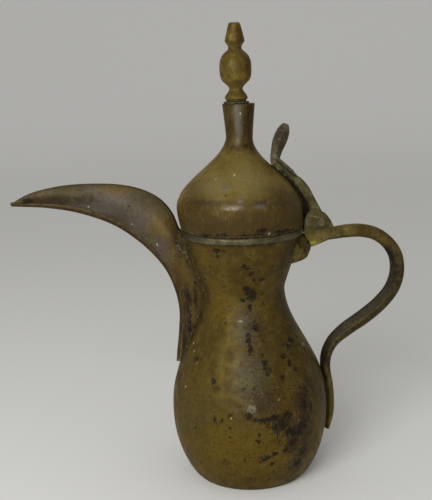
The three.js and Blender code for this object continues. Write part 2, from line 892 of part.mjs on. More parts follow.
// The saddle: a tapered lug on the neck under the bead, to which the fork's heel is brazed.
function hingeSaddle() {
  const low = pinHeight - saddleDrop;
  const high = mouthHeight - beadHeight - fit;
  const inside = wallX(1, low) - 4 * sheet;
  const end = heelLow[0] - fit;
  const outline = [
    [inside, low],
    [mix(inside, end, 0.46), low],
    [mix(inside, end, 0.64), mix(low, heelLow[1], 0.11)],
    [mix(inside, end, 0.86), mix(low, heelLow[1], 0.41)],
    [end, heelLow[1]],
    [heelHigh[0] - fit, heelHigh[1]],
    [heelHigh[0] - fit, high],
    [inside, high],
  ];
  const length = end - inside;
  const lobe = new THREE.CylinderGeometry(cheekHalfSpan * 1.25, saddleHalfWidth, length, 28);
  lobe.rotateZ(-Math.PI / 2).scale(1, 1, saddleHalfHeight / saddleHalfWidth);
  lobe.translate(inside + length / 2, 0, (low + high) / 2);
  const lug = plate(outline, saddleHalfWidth).intersect(solidFrom(lobe));
  return largestOf(lug.subtract(bodyEnvelope(fit)));
}

const tailRivetShares = [0.34, 0.7];

function tailRivetHoles() {
  const holes = tailRivetShares.map((at) => {
    const height = mix(tailTop, tailEnd, at);
    const wall = wallX(1, height);
    const reach = 2 * tailThickness;
    return rod([wall - reach, height], [wall + reach, height], rivetRadius + fit / 2);
  });
  return holes[0].add(holes[1]);
}

function tailRivet(index) {
  const at = tailRivetShares[index];
  const height = mix(tailTop, tailEnd, at);
  const seat = wallX(1, height) - sheet - 3 * fit;
  const end = wallX(1, height) + fit + along(tailDepths, at);
  return rivet([seat - rivetHeadThickness, height], [end, height]);
}

const dallah = new THREE.Group();

function addPiece(name, solid, material) {
  const mesh = new THREE.Mesh(geometryFrom(solid), material);
  mesh.name = name;
  dallah.add(mesh);
}

addPiece("body_lower", bodyLower(), agedBrass);
addPiece("body_upper", bodyUpper(), agedBrass);
addPiece("base_disc", baseDisc(), agedBrass);
addPiece("rim_bead", rimBead(), greyBrass);
addPiece("beak_wall_near", beakSide(-1), greyBrass);
addPiece("beak_wall_far", beakSide(1), greyBrass);
addPiece("beak_keel", beakKeel(), coppery);
addPiece("lid_shell", lidShell(), agedBrass);
addPiece("lid_collar", lidCollar(), darkBrass);
addPiece("neck_cap", neckCap(), darkBrass);
addPiece("finial", finial(), brightBrass);
addPiece("tang_washer", tangWasher(), darkBrass);
addPiece("lid_strap", lidStrap(), greyBrass);
addPiece("thumb_lever", thumbLever(), greyBrass);
addPiece("strap_rivet_lower", strapRivet(0), greyBrass);
addPiece("strap_rivet_upper", strapRivet(1), greyBrass);
addPiece("hinge_pin", hingePin(), darkBrass);
addPiece("hinge_saddle", hingeSaddle(), brightBrass);
addPiece("handle", handle(), agedBrass);
addPiece("tail_rivet_upper", tailRivet(0), darkBrass);
addPiece("tail_rivet_lower", tailRivet(1), darkBrass);

export default dallah;
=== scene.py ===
"""The looks of a long-beaked brass coffee pot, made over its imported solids.

Lengths in the classes are in millimetres and are scaled to metres as they are laid down. The
beak points to -X and the handle to +X, +Z is up, and the origin is the centre of the flat base.
"""

import logging
import math
from dataclasses import dataclass, field, replace
from enum import Enum
from typing import Callable, Sequence

import bmesh
import bpy
from mathutils import Matrix, Vector, noise


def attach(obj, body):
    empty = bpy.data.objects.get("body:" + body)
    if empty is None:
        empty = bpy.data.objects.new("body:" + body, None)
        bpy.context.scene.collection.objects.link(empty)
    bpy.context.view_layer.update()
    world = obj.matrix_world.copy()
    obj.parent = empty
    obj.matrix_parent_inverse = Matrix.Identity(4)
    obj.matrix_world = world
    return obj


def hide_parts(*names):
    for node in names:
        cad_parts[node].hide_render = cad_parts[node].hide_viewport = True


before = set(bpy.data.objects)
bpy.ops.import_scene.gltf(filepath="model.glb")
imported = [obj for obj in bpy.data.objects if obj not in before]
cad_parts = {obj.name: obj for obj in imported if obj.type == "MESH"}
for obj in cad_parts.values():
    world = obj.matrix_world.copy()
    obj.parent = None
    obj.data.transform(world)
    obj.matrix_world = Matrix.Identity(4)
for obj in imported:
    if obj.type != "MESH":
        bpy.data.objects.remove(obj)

LOG = logging.getLogger("coffee_pot")
MM = 0.001
ORIGIN = (0.0, 0.0, 0.0)
NOWHERE = 9.0  # A distance, in sizes of a spot, at which nothing is stained any more.
KEEL_RUN = 190  # About the keel's length, to read lumps along it.
TOOL_FACETS = 96
PIT_TONE = (20, 16, 10)
BRASS_TINT = (1.0, 0.84, 0.58, 1.0)

Row = tuple[float, float]
Point = tuple[float, float, float]
Ring = list[Point]
Tone = tuple[int, int, int]
Shade = tuple[float, float, float, float]
Spot = tuple[float, float, float, float, float]
Round = tuple[float, float, float]
Measure = Callable[[float], float]
Dent = tuple[Point, Point, float]
Piece = bpy.types.Object
Socket = bpy.types.NodeSocket
Sockets = bpy.types.bpy_prop_collection
Value = float | Sequence[float] | Socket


class Side(Enum):
    """A side of the pot's middle plane."""

    NEAR = -1
    FAR = 1


class Body(Enum):
    """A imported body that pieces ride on."""

    POT = "pot"
    LID = "lid"


class Slot(Enum):
    """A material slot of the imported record."""

    AGED = "aged_brass"
    DARK = "dark_brass"
    BRIGHT = "bright_brass"
    COPPERY = "coppery_brass"
    GREY = "grey_brass"


class Cut(Enum):
    """What a tool does to the piece that it meets."""

    AWAY = "DIFFERENCE"
    SHARED = "INTERSECT"
    ADDED = "UNION"


def mix(low: float, high: float, share: float) -> float:
    """Returns the value that lies a share of the way from low to high."""
    return low + (high - low) * share


def clamp(value: float) -> float:
    """Returns the value held between 0 and 1."""
    return min(max(value, 0.0), 1.0)


def smooth(value: float) -> float:
    """Returns the value eased between 0 and 1."""
    t = clamp(value)
    return t * t * (3 - 2 * t)


def along(table: Sequence[Row], at: float) -> float:
    """Reads a table of rows, straight between its rows.

    Args:
        table: Rows of a place and the value there, in order.
        at: The place to read.

    Returns:
        The value at that place.
    """
    for (start, low), (end, high) in zip(table, table[1:]):
        if at <= end:
            return mix(low, high, clamp((at - start) / (end - start)))
    return table[-1][1]


def evenly(start: float, end: float, steps: int) -> list[float]:
    """Returns steps + 1 values from start to end."""
    return [mix(start, end, i / steps) for i in range(steps + 1)]


def unevenness(x: float, y: float, z: float, size: float) -> float:
    """Samples a fixed field of lumps that lie this far apart, between -1 and 1."""
    return noise.noise(Vector((x, y, z)) / size)


class SmoothLine:
    """A curve through points of the XZ plane, read by its share of the whole length."""

    def __init__(self, points: Sequence[Row], fine: int = 30) -> None:
        """Samples the curve.

        Args:
            points: The points it passes through, as X and Z.
            fine: Samples between two points.
        """
        knots = [Vector(p) for p in points]
        first = knots[0] * 2 - knots[1]
        last = knots[-1] * 2 - knots[-2]
        ends = [first, *knots, last]
        self.samples: list[Vector] = [knots[0]]
        for i in range(len(knots) - 1):
            span = ends[i : i + 4]
            self.samples += [self._between(span, (k + 1) / fine) for k in range(fine)]
        self.lengths = [0.0]
        for a, b in zip(self.samples, self.samples[1:]):
            self.lengths.append(self.lengths[-1] + (b - a).length)

    @staticmethod
    def _between(span: Sequence[Vector], u: float) -> Vector:
        """Finds a point between the two middle points of four.

        Args:
            span: The four points.
            u: How far along it lies, from 0 to 1.

        Returns:
            The point.
        """
        p0, p1, p2, p3 = span
        d0, d1, d2 = ((b - a).length ** 0.5 for a, b in zip(span, span[1:]))
        t1 = ((p1 - p0) / d0 - (p2 - p0) / (d0 + d1) + (p2 - p1) / d1) * d1
        t2 = ((p2 - p1) / d1 - (p3 - p1) / (d1 + d2) + (p3 - p2) / d2) * d1
        square, cube = u * u, u * u * u
        keep = 2 * cube - 3 * square + 1
        return p1 * keep + t1 * (cube - 2 * square + u) + p2 * (1 - keep) + t2 * (cube - square)

    def at(self, share: float) -> Vector:
        """Finds the point at a share of the length.

        Args:
            share: The share.

        Returns:
            The point, as X and Z.
        """
        target = clamp(share) * self.lengths[-1]
        for i in range(1, len(self.lengths)):
            if self.lengths[i] >= target:
                step = self.lengths[i] - self.lengths[i - 1]
                t = (target - self.lengths[i - 1]) / step if step else 0.0
                return self.samples[i - 1].lerp(self.samples[i], t)
        return self.samples[-1].copy()

    def heading(self, share: float) -> Vector:
        """Returns the direction of travel at a share of the length."""
        return (self.at(min(share + 0.004, 1)) - self.at(max(share - 0.004, 0))).normalized()


class Bench:
    """The hand moves of modelling, each made with Blender's own operators."""

    @staticmethod
    def edit(inside: bool) -> None:
        """Enters edit mode, or leaves it."""
        bpy.ops.object.mode_set(mode="EDIT" if inside else "OBJECT")

    @staticmethod
    def clear() -> None:
        """Leaves edit mode and deselects everything."""
        if bpy.context.mode != "OBJECT":
            Bench.edit(False)
        bpy.ops.object.select_all(action="DESELECT")

    @staticmethod
    def free_corners() -> None:
        """Deselects every corner of the active piece."""
        Bench.edit(True)
        bpy.ops.mesh.select_mode(type="VERT")
        bpy.ops.mesh.select_all(action="DESELECT")
        Bench.edit(False)

    @staticmethod
    def settle() -> Piece:
        """Returns the new primitive with its place, turn and size taken into its mesh."""
        bpy.ops.object.transform_apply(location=True, rotation=True, scale=True)
        return bpy.context.object

    @staticmethod
    def pick(*pieces: Piece) -> None:
        """Selects only these pieces and makes the first one active.

        Args:
            *pieces: The pieces.
        """
        Bench.clear()
        for piece in pieces:
            piece.select_set(True)
        bpy.context.view_layer.objects.active = pieces[0]

    @staticmethod
    def loft(name: str, rings: Sequence[Ring]) -> Piece:
        """Grows a closed skin by extruding an end face from one section to the next.

        Args:
            name: The new piece's name.
            rings: Sections with the same number of points, in millimetres.

        Returns:
            The piece, closed at both ends.
        """
        Bench.clear()
        bpy.ops.mesh.primitive_circle_add(vertices=len(rings[0]), radius=MM, fill_type="NGON")
        piece = bpy.context.object
        piece.name = piece.data.name = name
        Bench.edit(True)
        previous = None
        for ring in rings:
            if previous is not None:
                bpy.ops.mesh.extrude_region()
            Bench._lay_end(piece, ring, previous)
            previous = ring
        Bench.edit(False)
        return Bench.tidy(piece)

    @staticmethod
    def _lay_end(piece: Piece, ring: Ring, previous: Ring | None) -> None:
        """Lays the selected end face on a section.

        Args:
            piece: The piece in edit mode.
            ring: Where the face's corners go.
            previous: The section that they lie on now, if there is one.
        """
        mesh = bmesh.from_edit_mesh(piece.data)
        face = next(f for f in mesh.faces if f.select)
        corners = list(face.verts)
        size = len(ring)
        start, step = 0, 1
        if previous is not None:
            here = [corners[0].co / MM, corners[1].co / MM]
            places = [Vector(p) for p in previous]
            start = min(range(size), key=lambda i: (places[i] - here[0]).length_squared)
            ahead = (places[(start + 1) % size] - here[1]).length_squared
            behind = (places[(start - 1) % size] - here[1]).length_squared
            step = 1 if ahead <= behind else -1
        for i, corner in enumerate(corners):
            corner.co = Vector(ring[(start + step * i) % size]) * MM
        bmesh.update_edit_mesh(piece.data)

    @staticmethod
    def turn(name: str, rows: Sequence[Round], facets: int) -> Piece:
        """Raises a round piece from an end disc, one extruded and resized ring after another.

        Args:
            name: The new piece's name.
            rows: Each ring's centre along X, its height and its radius, in millimetres.
            facets: Corners in a ring.

        Returns:
            The piece, closed at both ends.
        """
        Bench.clear()
        x, z, radius = rows[0]
        bpy.ops.mesh.primitive_circle_add(
            vertices=facets, radius=radius * MM, fill_type="NGON", location=(x * MM, 0, z * MM)
        )
        piece = Bench.settle()
        piece.name = piece.data.name = name
        Bench.edit(True)
        for (x0, z0, r0), (x, z, radius) in zip(rows, rows[1:]):
            step = ((x - x0) * MM, 0, (z - z0) * MM)
            bpy.ops.mesh.extrude_region_move(TRANSFORM_OT_translate={"value": step})
            grow, middle = radius / r0, (x * MM, 0, z * MM)
            bpy.ops.transform.resize(value=(grow, grow, 1), center_override=middle)
        Bench.edit(False)
        return Bench.tidy(piece)

    @staticmethod
    def hammer(piece: Piece, depth: float, size: float) -> None:
        """Leaves the soft unevenness of hammer work on a piece.

        Args:
            piece: The piece.
            depth: How far the marks reach, in millimetres.
            size: How far apart they lie.
        """
        marks = bpy.data.textures.new("Hammer Marks", "CLOUDS")
        marks.noise_scale = size * MM
        marks.noise_depth = 2
        Bench.modify(
            piece,
            "DISPLACE",
            texture=marks,
            texture_coords="LOCAL",
            strength=depth * MM,
            mid_level=0.5,
        )

    @staticmethod
    def dent(piece: Piece, dents: Sequence[Dent]) -> None:
        """Presses soft dents into a piece.

        Args:
            piece: The piece.
            dents: Each dent's middle on the surface, how far and which way the middle moves,
                and how far the dent reaches, all in millimetres.
        """
        Bench.pick(piece)
        for place, push, size in dents:
            target = Vector(place) * MM
            corners = piece.data.vertices
            nearest = min(corners, key=lambda corner: (corner.co - target).length_squared).index
            Bench.free_corners()
            corners[nearest].select = True
            Bench.edit(True)
            bpy.ops.transform.translate(
                value=Vector(push) * MM,
                use_proportional_edit=True,
                proportional_edit_falloff="SMOOTH",
                proportional_size=size * MM,
            )
            Bench.edit(False)

    @staticmethod
    def tidy(piece: Piece, angle: float = 35.0) -> Piece:
        """Merges doubles, turns the faces outwards and shades the piece smooth by angle.

        Args:
            piece: A closed mesh.
            angle: The steepest angle, in degrees, that is still shaded smooth.

        Returns:
            The same piece.
        """
        Bench.pick(piece)
        Bench.edit(True)
        bpy.ops.mesh.select_all(action="SELECT")
        bpy.ops.mesh.remove_doubles(threshold=1e-6)
        bpy.ops.mesh.normals_make_consistent(inside=False)
        Bench.edit(False)
        bpy.ops.object.shade_smooth_by_angle(angle=math.radians(angle))
        return piece

    @staticmethod
    def crisp(piece: Piece, angle: float = 30.0) -> Piece:
        """Tidies a piece and shades its broad faces flat between their eased edges."""
        Bench.tidy(piece, angle)
        return Bench.modify(piece, "WEIGHTED_NORMAL", keep_sharp=True, weight=50)

    @staticmethod
    def modify(piece: Piece, kind: str, **settings: object) -> Piece:
        """Adds a modifier and applies it.

        Args:
            piece: The piece to change.
            kind: The modifier's type.
            **settings: Its settings.

        Returns:
            The same piece.
        """
        Bench.pick(piece)
        modifier = piece.modifiers.new(kind.title(), kind)
        for key, value in settings.items():
            setattr(modifier, key, value)
        bpy.ops.object.modifier_apply(modifier=modifier.name)
        return piece

    @staticmethod
    def carve(piece: Piece, tool: Piece, cut: Cut = Cut.AWAY) -> None:
        """Cuts a piece with a tool, which is then thrown away."""
        Bench.modify(piece, "BOOLEAN", operation=cut.value, object=tool, solver="EXACT")
        bpy.data.objects.remove(tool)

    @staticmethod
    def plate(name: str, outline: Sequence[Row], half_width: float | Measure) -> Piece:
        """Extrudes an outline of the XZ plane to both sides of the middle plane.

        Args:
            name: The piece's name.
            outline: Its corners, as X and Z.
            half_width: Half of its thickness, or half of its thickness at an X.

        Returns:
            The plate.
        """
        wide = [half_width(x) if callable(half_width) else half_width for x, _ in outline]
        rings = [[(x, side * w, z) for (x, z), w in zip(outline, wide)] for side in (-1, 1)]
        return Bench.loft(name, rings)

    @staticmethod
    def fuse(pieces: Sequence[Piece], voxel: float) -> Piece:
        """Melts overlapping pieces into one casting with soft inner corners.

        Args:
            pieces: The pieces, of which the first one stays.
            voxel: The grain of the new skin, in millimetres.

        Returns:
            The casting.
        """
        Bench.pick(*pieces)
        bpy.ops.object.join()
        piece = pieces[0]
        Bench.modify(piece, "REMESH", mode="VOXEL", voxel_size=voxel * MM)
        Bench.modify(piece, "SMOOTH", factor=0.5, iterations=1)
        return Bench.tidy(piece, angle=60.0)


@dataclass(frozen=True)
class PotShape:
    """The pot's outline, in millimetres."""

    sheet: float = 1.3
    base_radius: float = 40.9
    belly_radius: float = 56.6
    belly_height: float = 48.5
    waist_radius: float = 29.3
    waist_height: float = 138.0
    waist_corner: float = 0.05
    mouth_radius: float = 41.2
    mouth_height: float = 182.4
    mouth_forward: float = 2.1
    seam_height: float = 66.0

    def radius(self, height: float) -> float:
        """Finds the wall's outer radius.

        Args:
            height: The height above the table.

        Returns:
            The radius.
        """
        if height <= self.belly_height:
            rise = 1 - (1 - max(height, 0) / self.belly_height) ** 2
            return mix(self.base_radius, self.belly_radius, rise**0.8)
        if height <= self.waist_height:
            t = (height - self.belly_height) / (self.waist_height - self.belly_height)
            swell = (1 + math.cos(math.pi * t**1.17)) / 2
            return mix(self.waist_radius, self.belly_radius, swell)
        t = clamp((height - self.waist_height) / (self.mouth_height - self.waist_height))
        corner = self.waist_corner
        rise = (math.hypot(t, corner) - corner) / (math.hypot(1, corner) - corner)
        return mix(self.waist_radius, self.mouth_radius, 1 - (1 - rise) ** 1.3)

    def shift(self, height: float) -> float:
        """Returns how far the wall's centre has moved along X at a height."""
        rise = (height - self.seam_height) / (self.waist_height - self.seam_height)
        return -self.mouth_forward * smooth(rise)

    def wall_x(self, side: int, height: float) -> float:
        """Returns X of the wall's outside: side -1 is towards the beak."""
        return self.shift(height) + side * self.radius(height)

    def rounds(self, heights: Sequence[float], inset: float = 0.0) -> list[Round]:
        """Returns the wall's rings at some heights, set in from its outside."""
        return [(self.shift(h), h, self.radius(h) - inset) for h in heights]

    def flank(self, half_width: float, height: float, side: int) -> Point:
        """Returns the wall's point on the beak's side: side 1 is the far one."""
        run = math.sqrt(max(self.radius(height) ** 2 - half_width**2, 0))
        return (self.shift(height) - run, side * half_width, height)


@dataclass(frozen=True)
class LidShape:
    """The lid's outline, in millimetres, from its rim up to the neck's lip."""

    foot: float = 182.7
    rim_radius: float = 43.3
    dome_radius: float = 44.5
    dome_rise: float = 13.8
    shoulder_rise: float = 49.7
    throat_radius: float = 9.3
    neck_rise: float = 22.5
    lip_radius: float = 11.3
    forward: float = 2.1
    dome_forward: float = 1.8

    @property
    def throat_rise(self) -> float:
        """The rise from the rim to the throat."""
        return self.dome_rise + self.shoulder_rise

    @property
    def top_rise(self) -> float:
        """The rise from the rim to the neck's lip."""
        return self.throat_rise + self.neck_rise

    def radius(self, rise: float) -> float:
        """Finds the wall's outer radius.

        Args:
            rise: The rise above the rim.

        Returns:
            The radius.
        """
        if rise <= self.dome_rise:
            swell = math.sin(math.pi / 2 * rise / self.dome_rise)
            return mix(self.rim_radius, self.dome_radius, swell)
        if rise <= self.throat_rise:
            t = (rise - self.dome_rise) / self.shoulder_rise
            swell = (1 + math.cos(math.pi * t**1.04)) / 2
            return mix(self.throat_radius, self.dome_radius, swell)
        t = (rise - self.throat_rise) / self.neck_rise
        return mix(self.throat_radius, self.lip_radius, t**1.2)

    def shift(self, rise: float) -> float:
        """Returns how far the lid's centre lies along X at a rise."""
        bulge = math.sin(math.pi * clamp(rise / self.throat_rise))
        return -self.forward - self.dome_forward * bulge

    def edge_x(self, rise: float) -> float:
        """Returns X of the wall's outside on the handle's side."""
        return self.shift(rise) + self.radius(rise)

    def off(self, share: float, distance: float) -> Row:
        """Finds a point off the shoulder's handle side.

        Args:
            share: The share of the shoulder, from the widest ring up to the throat.
            distance: The distance out of the surface.

        Returns:
            The point's X and Z.
        """
        rise = self.dome_rise + self.shoulder_rise * share
        step = 1.0
        run = self.edge_x(rise + step) - self.edge_x(rise - step)
        normal = Vector((2 * step, -run)).normalized()
        return (self.edge_x(rise) + distance * normal.x, self.foot + rise + distance * normal.y)


class Graph:
    """A node tree in the making, with short calls for its common nodes."""

    def __init__(self, tree: bpy.types.NodeTree) -> None:
        """Keeps the tree that nodes are added to."""
        self.tree = tree

    def add(
        self, kind: str, inputs: dict[str | int, Value] | None = None, **settings: object
    ) -> bpy.types.Node:
        """Adds a node.

        Args:
            kind: The node's type, without the leading ShaderNode.
            inputs: A value or a socket for each input.
            **settings: The node's own settings.

        Returns:
            The node.
        """
        node = self.tree.nodes.new("ShaderNode" + kind)
        for key, value in settings.items():
            setattr(node, key, value)
        for key, value in (inputs or {}).items():
            self.feed(node.inputs[key], value)
        return node

    def feed(self, socket: Socket, value: Value) -> None:
        """Links a socket to another one, or sets its value.

        Args:
            socket: The input.
            value: The output or the value that it gets.
        """
        if isinstance(value, Socket):
            self.tree.links.new(value, socket)
        else:
            socket.default_value = value

    def math(self, operation: str, a: Value, b: Value = 0.0) -> Socket:
        """Returns the result of a sum on two values."""
        return self.add("Math", {0: a, 1: b}, operation=operation).outputs[0]

    def times(self, a: Value, b: Value) -> Socket:
        """Returns the product of two values."""
        return self.math("MULTIPLY", a, b)

    def rest(self, value: Value) -> Socket:
        """Returns what a value leaves of 1."""
        return self.math("SUBTRACT", 1.0, value)

    def vector(self, operation: str, a: Value, b: Value, port: int = 1) -> Socket:
        """Returns the result of a sum on two vectors: a plain number goes into port 3."""
        return self.add("VectorMath", {0: a, port: b}, operation=operation).outputs[0]

    def shaken(
        self, place: Value, read: Value, scale: float, detail: float, reach: float
    ) -> Socket:
        """Moves a place by a soft noise, so that what lies there gets a frayed edge.

        Args:
            place: The place.
            read: Where the noise is read.
            scale: The noise's lumps to the metre.
            detail: How many finer layers it has.
            reach: How far it moves the place, in metres.

        Returns:
            The moved place.
        """
        shake = self.add("TexNoise", {"Vector": read, "Scale": scale, "Detail": detail})
        offset = self.vector("SUBTRACT", shake.outputs[1], (0.5, 0.5, 0.5))
        return self.vector("ADD", place, self.vector("SCALE", offset, reach, port=3))

    def between(self, value: Value, low: Value, high: Value) -> Socket:
        """Returns 0 at low and 1 at high, eased between them."""
        inputs = {"Value": value, "From Min": low, "From Max": high}
        return self.add("MapRange", inputs, interpolation_type="SMOOTHSTEP").outputs[0]

    def blend(self, factor: Value, low: Value, high: Value) -> Socket:
        """Returns a colour between two colours."""
        return self.add("Mix", {0: factor, 6: low, 7: high}, data_type="RGBA").outputs[2]

    def slide(self, factor: Value, low: Value, high: Value) -> Socket:
        """Returns a number between two numbers."""
        return self.add("Mix", {0: factor, 2: low, 3: high}, data_type="FLOAT").outputs[0]

    def cloud(
        self, vector: Value, scale: Value, detail: float = 4.0, rough: float = 0.55
    ) -> Socket:
        """Returns soft noise with so many lumps to the metre."""
        inputs = {"Vector": vector, "Scale": scale, "Detail": detail, "Roughness": rough}
        return self.add("TexNoise", inputs).outputs[0]

    def use(self, group: bpy.types.NodeTree, **inputs: Value) -> bpy.types.Node:
        """Places a shared effect.

        Args:
            group: The effect's node group.
            **inputs: Its inputs, by name.

        Returns:
            The group's node.
        """
        node = self.tree.nodes.new("ShaderNodeGroup")
        node.node_tree = group
        for key, value in inputs.items():
            self.feed(node.inputs[key], value)
        return node


class Effects:
    """The shared effects of old brass, each a node group that is built once."""

    def __init__(self) -> None:
        """Builds every effect."""
        self.mottle = self._mottle()
        self.nearest = self._nearest()
        self.ragged = self._ragged()
        self.pits = self._pits()
        self.scratches = self._scratches()
        self.wear = self._wear()

    @staticmethod
    def _start(
        name: str, inputs: dict[str, float | Point], outputs: Sequence[str]
    ) -> tuple[Graph, Sockets, Sockets]:
        """Starts a node group.

        Args:
            name: The group's name.
            inputs: Each input with its first value, which is a triple for a vector.
            outputs: The names of its outputs, which are all numbers.

        Returns:
            The group's graph, what its inputs give and what its outputs take.
        """
        tree = bpy.data.node_groups.new(name, "ShaderNodeTree")
        for key, value in inputs.items():
            kind = "NodeSocketVector" if isinstance(value, tuple) else "NodeSocketFloat"
            socket = tree.interface.new_socket(name=key, in_out="INPUT", socket_type=kind)
            socket.default_value = value
        for key in outputs:
            tree.interface.new_socket(name=key, in_out="OUTPUT", socket_type="NodeSocketFloat")
        start = tree.nodes.new("NodeGroupInput")
        end = tree.nodes.new("NodeGroupOutput")
        return Graph(tree), start.outputs, end.inputs

    def _mottle(self) -> bpy.types.NodeTree:
        """Returns cloudy patches of tarnish with ragged edges."""
        inputs = {"Vector": ORIGIN, "Scale": 60.0, "Low": 0.4, "High": 0.6}
        g, out, end = self._start("Mottled Tarnish", inputs, ["Mask"])
        broad = g.cloud(out["Vector"], out["Scale"], 8.0, 0.62)
        g.feed(end["Mask"], g.between(broad, out["Low"], out["High"]))
        return g.tree

    def _nearest(self) -> bpy.types.NodeTree:
        """Returns the distance to the nearest of a chain of spots, in shares of their size."""
        inputs = {"Vector": ORIGIN, "Centre": ORIGIN, "Sizes": (500.0,) * 3, "Before": NOWHERE}
        g, out, end = self._start("Nearest Spot", inputs, ["Distance"])
        away = g.vector("SUBTRACT", out["Vector"], out["Centre"])
        scaled = g.vector("MULTIPLY", away, out["Sizes"])
        reach = g.add("VectorMath", {0: scaled}, operation="LENGTH").outputs["Value"]
        g.feed(end["Distance"], g.math("MINIMUM", reach, out["Before"]))
        return g.tree

    def _ragged(self) -> bpy.types.NodeTree:
        """Returns the inside of a distance of 1, with a ragged edge."""
        inputs = {"Distance": NOWHERE, "Ragged": 0.5, "Warp": 0.8, "Soft": 0.5}
        g, out, end = self._start("Ragged Edge", inputs, ["Mask"])
        lumps = g.times(g.math("SUBTRACT", out["Ragged"], 0.5), out["Warp"])
        edge = g.math("ADD", out["Distance"], g.times(lumps, 4.0))
        inner = g.rest(out["Soft"])
        outer = g.math("ADD", 1.0, out["Soft"])
        g.feed(end["Mask"], g.rest(g.between(edge, inner, outer)))
        return g.tree

    def _pits(self) -> bpy.types.NodeTree:
        """Returns small scattered pits of uneven size."""
        inputs = {"Vector": ORIGIN, "Scale": 300.0, "Amount": 0.2, "Size": 0.5}
        g, out, end = self._start("Scattered Pits", inputs, ["Mask"])
        place = g.shaken(out["Vector"], out["Vector"], 900.0, 2.0, 4.5 * MM)
        cells = g.add("TexVoronoi", {"Vector": place, "Scale": out["Scale"]})
        chance = g.add("SeparateColor", {0: cells.outputs["Color"]})
        chosen = g.math("LESS_THAN", chance.outputs[0], out["Amount"])
        size = g.times(g.math("ADD", chance.outputs[1], 0.25), out["Size"])
        inner = g.times(size, 0.45)
        hole = g.rest(g.between(cells.outputs["Distance"], inner, size))
        hole = g.times(hole, g.between(g.cloud(out["Vector"], 60.0), 0.5, 0.6))
        g.feed(end["Mask"], g.times(hole, chosen))
        return g.tree

    def _scratches(self) -> bpy.types.NodeTree:
        """Returns thin rubbed lines along a stretch of the vector."""
        inputs = {"Vector": ORIGIN, "Stretch": (900.0, 900.0, 60.0), "Thin": 0.03}
        g, out, end = self._start("Rubbed Lines", inputs, ["Mask"])
        drawn = g.cloud(g.vector("MULTIPLY", out["Vector"], out["Stretch"]), 1.0, 3.0, 0.6)
        off = g.math("ABSOLUTE", g.math("SUBTRACT", drawn, 0.5))
        line = g.rest(g.between(off, 0.0, out["Thin"]))
        gate = g.between(g.cloud(out["Vector"], 140.0, 3.0), 0.45, 0.65)
        g.feed(end["Mask"], g.times(line, gate))
        return g.tree

    def _wear(self) -> bpy.types.NodeTree:
        """Returns where edges are rubbed bright and where hollows hold grime."""
        inputs = {"Edge": 0.54, "Hollow": 0.46, "Spread": 0.05}
        g, out, end = self._start("Edge Wear", inputs, ["Edge", "Hollow"])
        bend = g.add("NewGeometry").outputs["Pointiness"]
        top = g.math("ADD", out["Edge"], out["Spread"])
        deep = g.math("SUBTRACT", out["Hollow"], out["Spread"])
        g.feed(end["Edge"], g.between(bend, out["Edge"], top))
        g.feed(end["Hollow"], g.rest(g.between(bend, deep, out["Hollow"])))
        return g.tree


def linear(tone: Tone) -> Shade:
    """Turns a tone of 0 to 255 as it is seen into the light that it stands for.

    Args:
        tone: Red, green and blue as seen.

    Returns:
        The same colour in linear light, with full alpha.
    """
    parts = [c / 255 for c in tone]
    light = [c / 12.92 if c <= 0.04045 else ((c + 0.055) / 1.055) ** 2.4 for c in parts]
    return (light[0], light[1], light[2], 1.0)


@dataclass(frozen=True)
class Stain:
    """What a mark does to the metal under it."""

    tone: Tone
    strength: float
    roughness: float
    metal: float
    warp: float
    soft: float


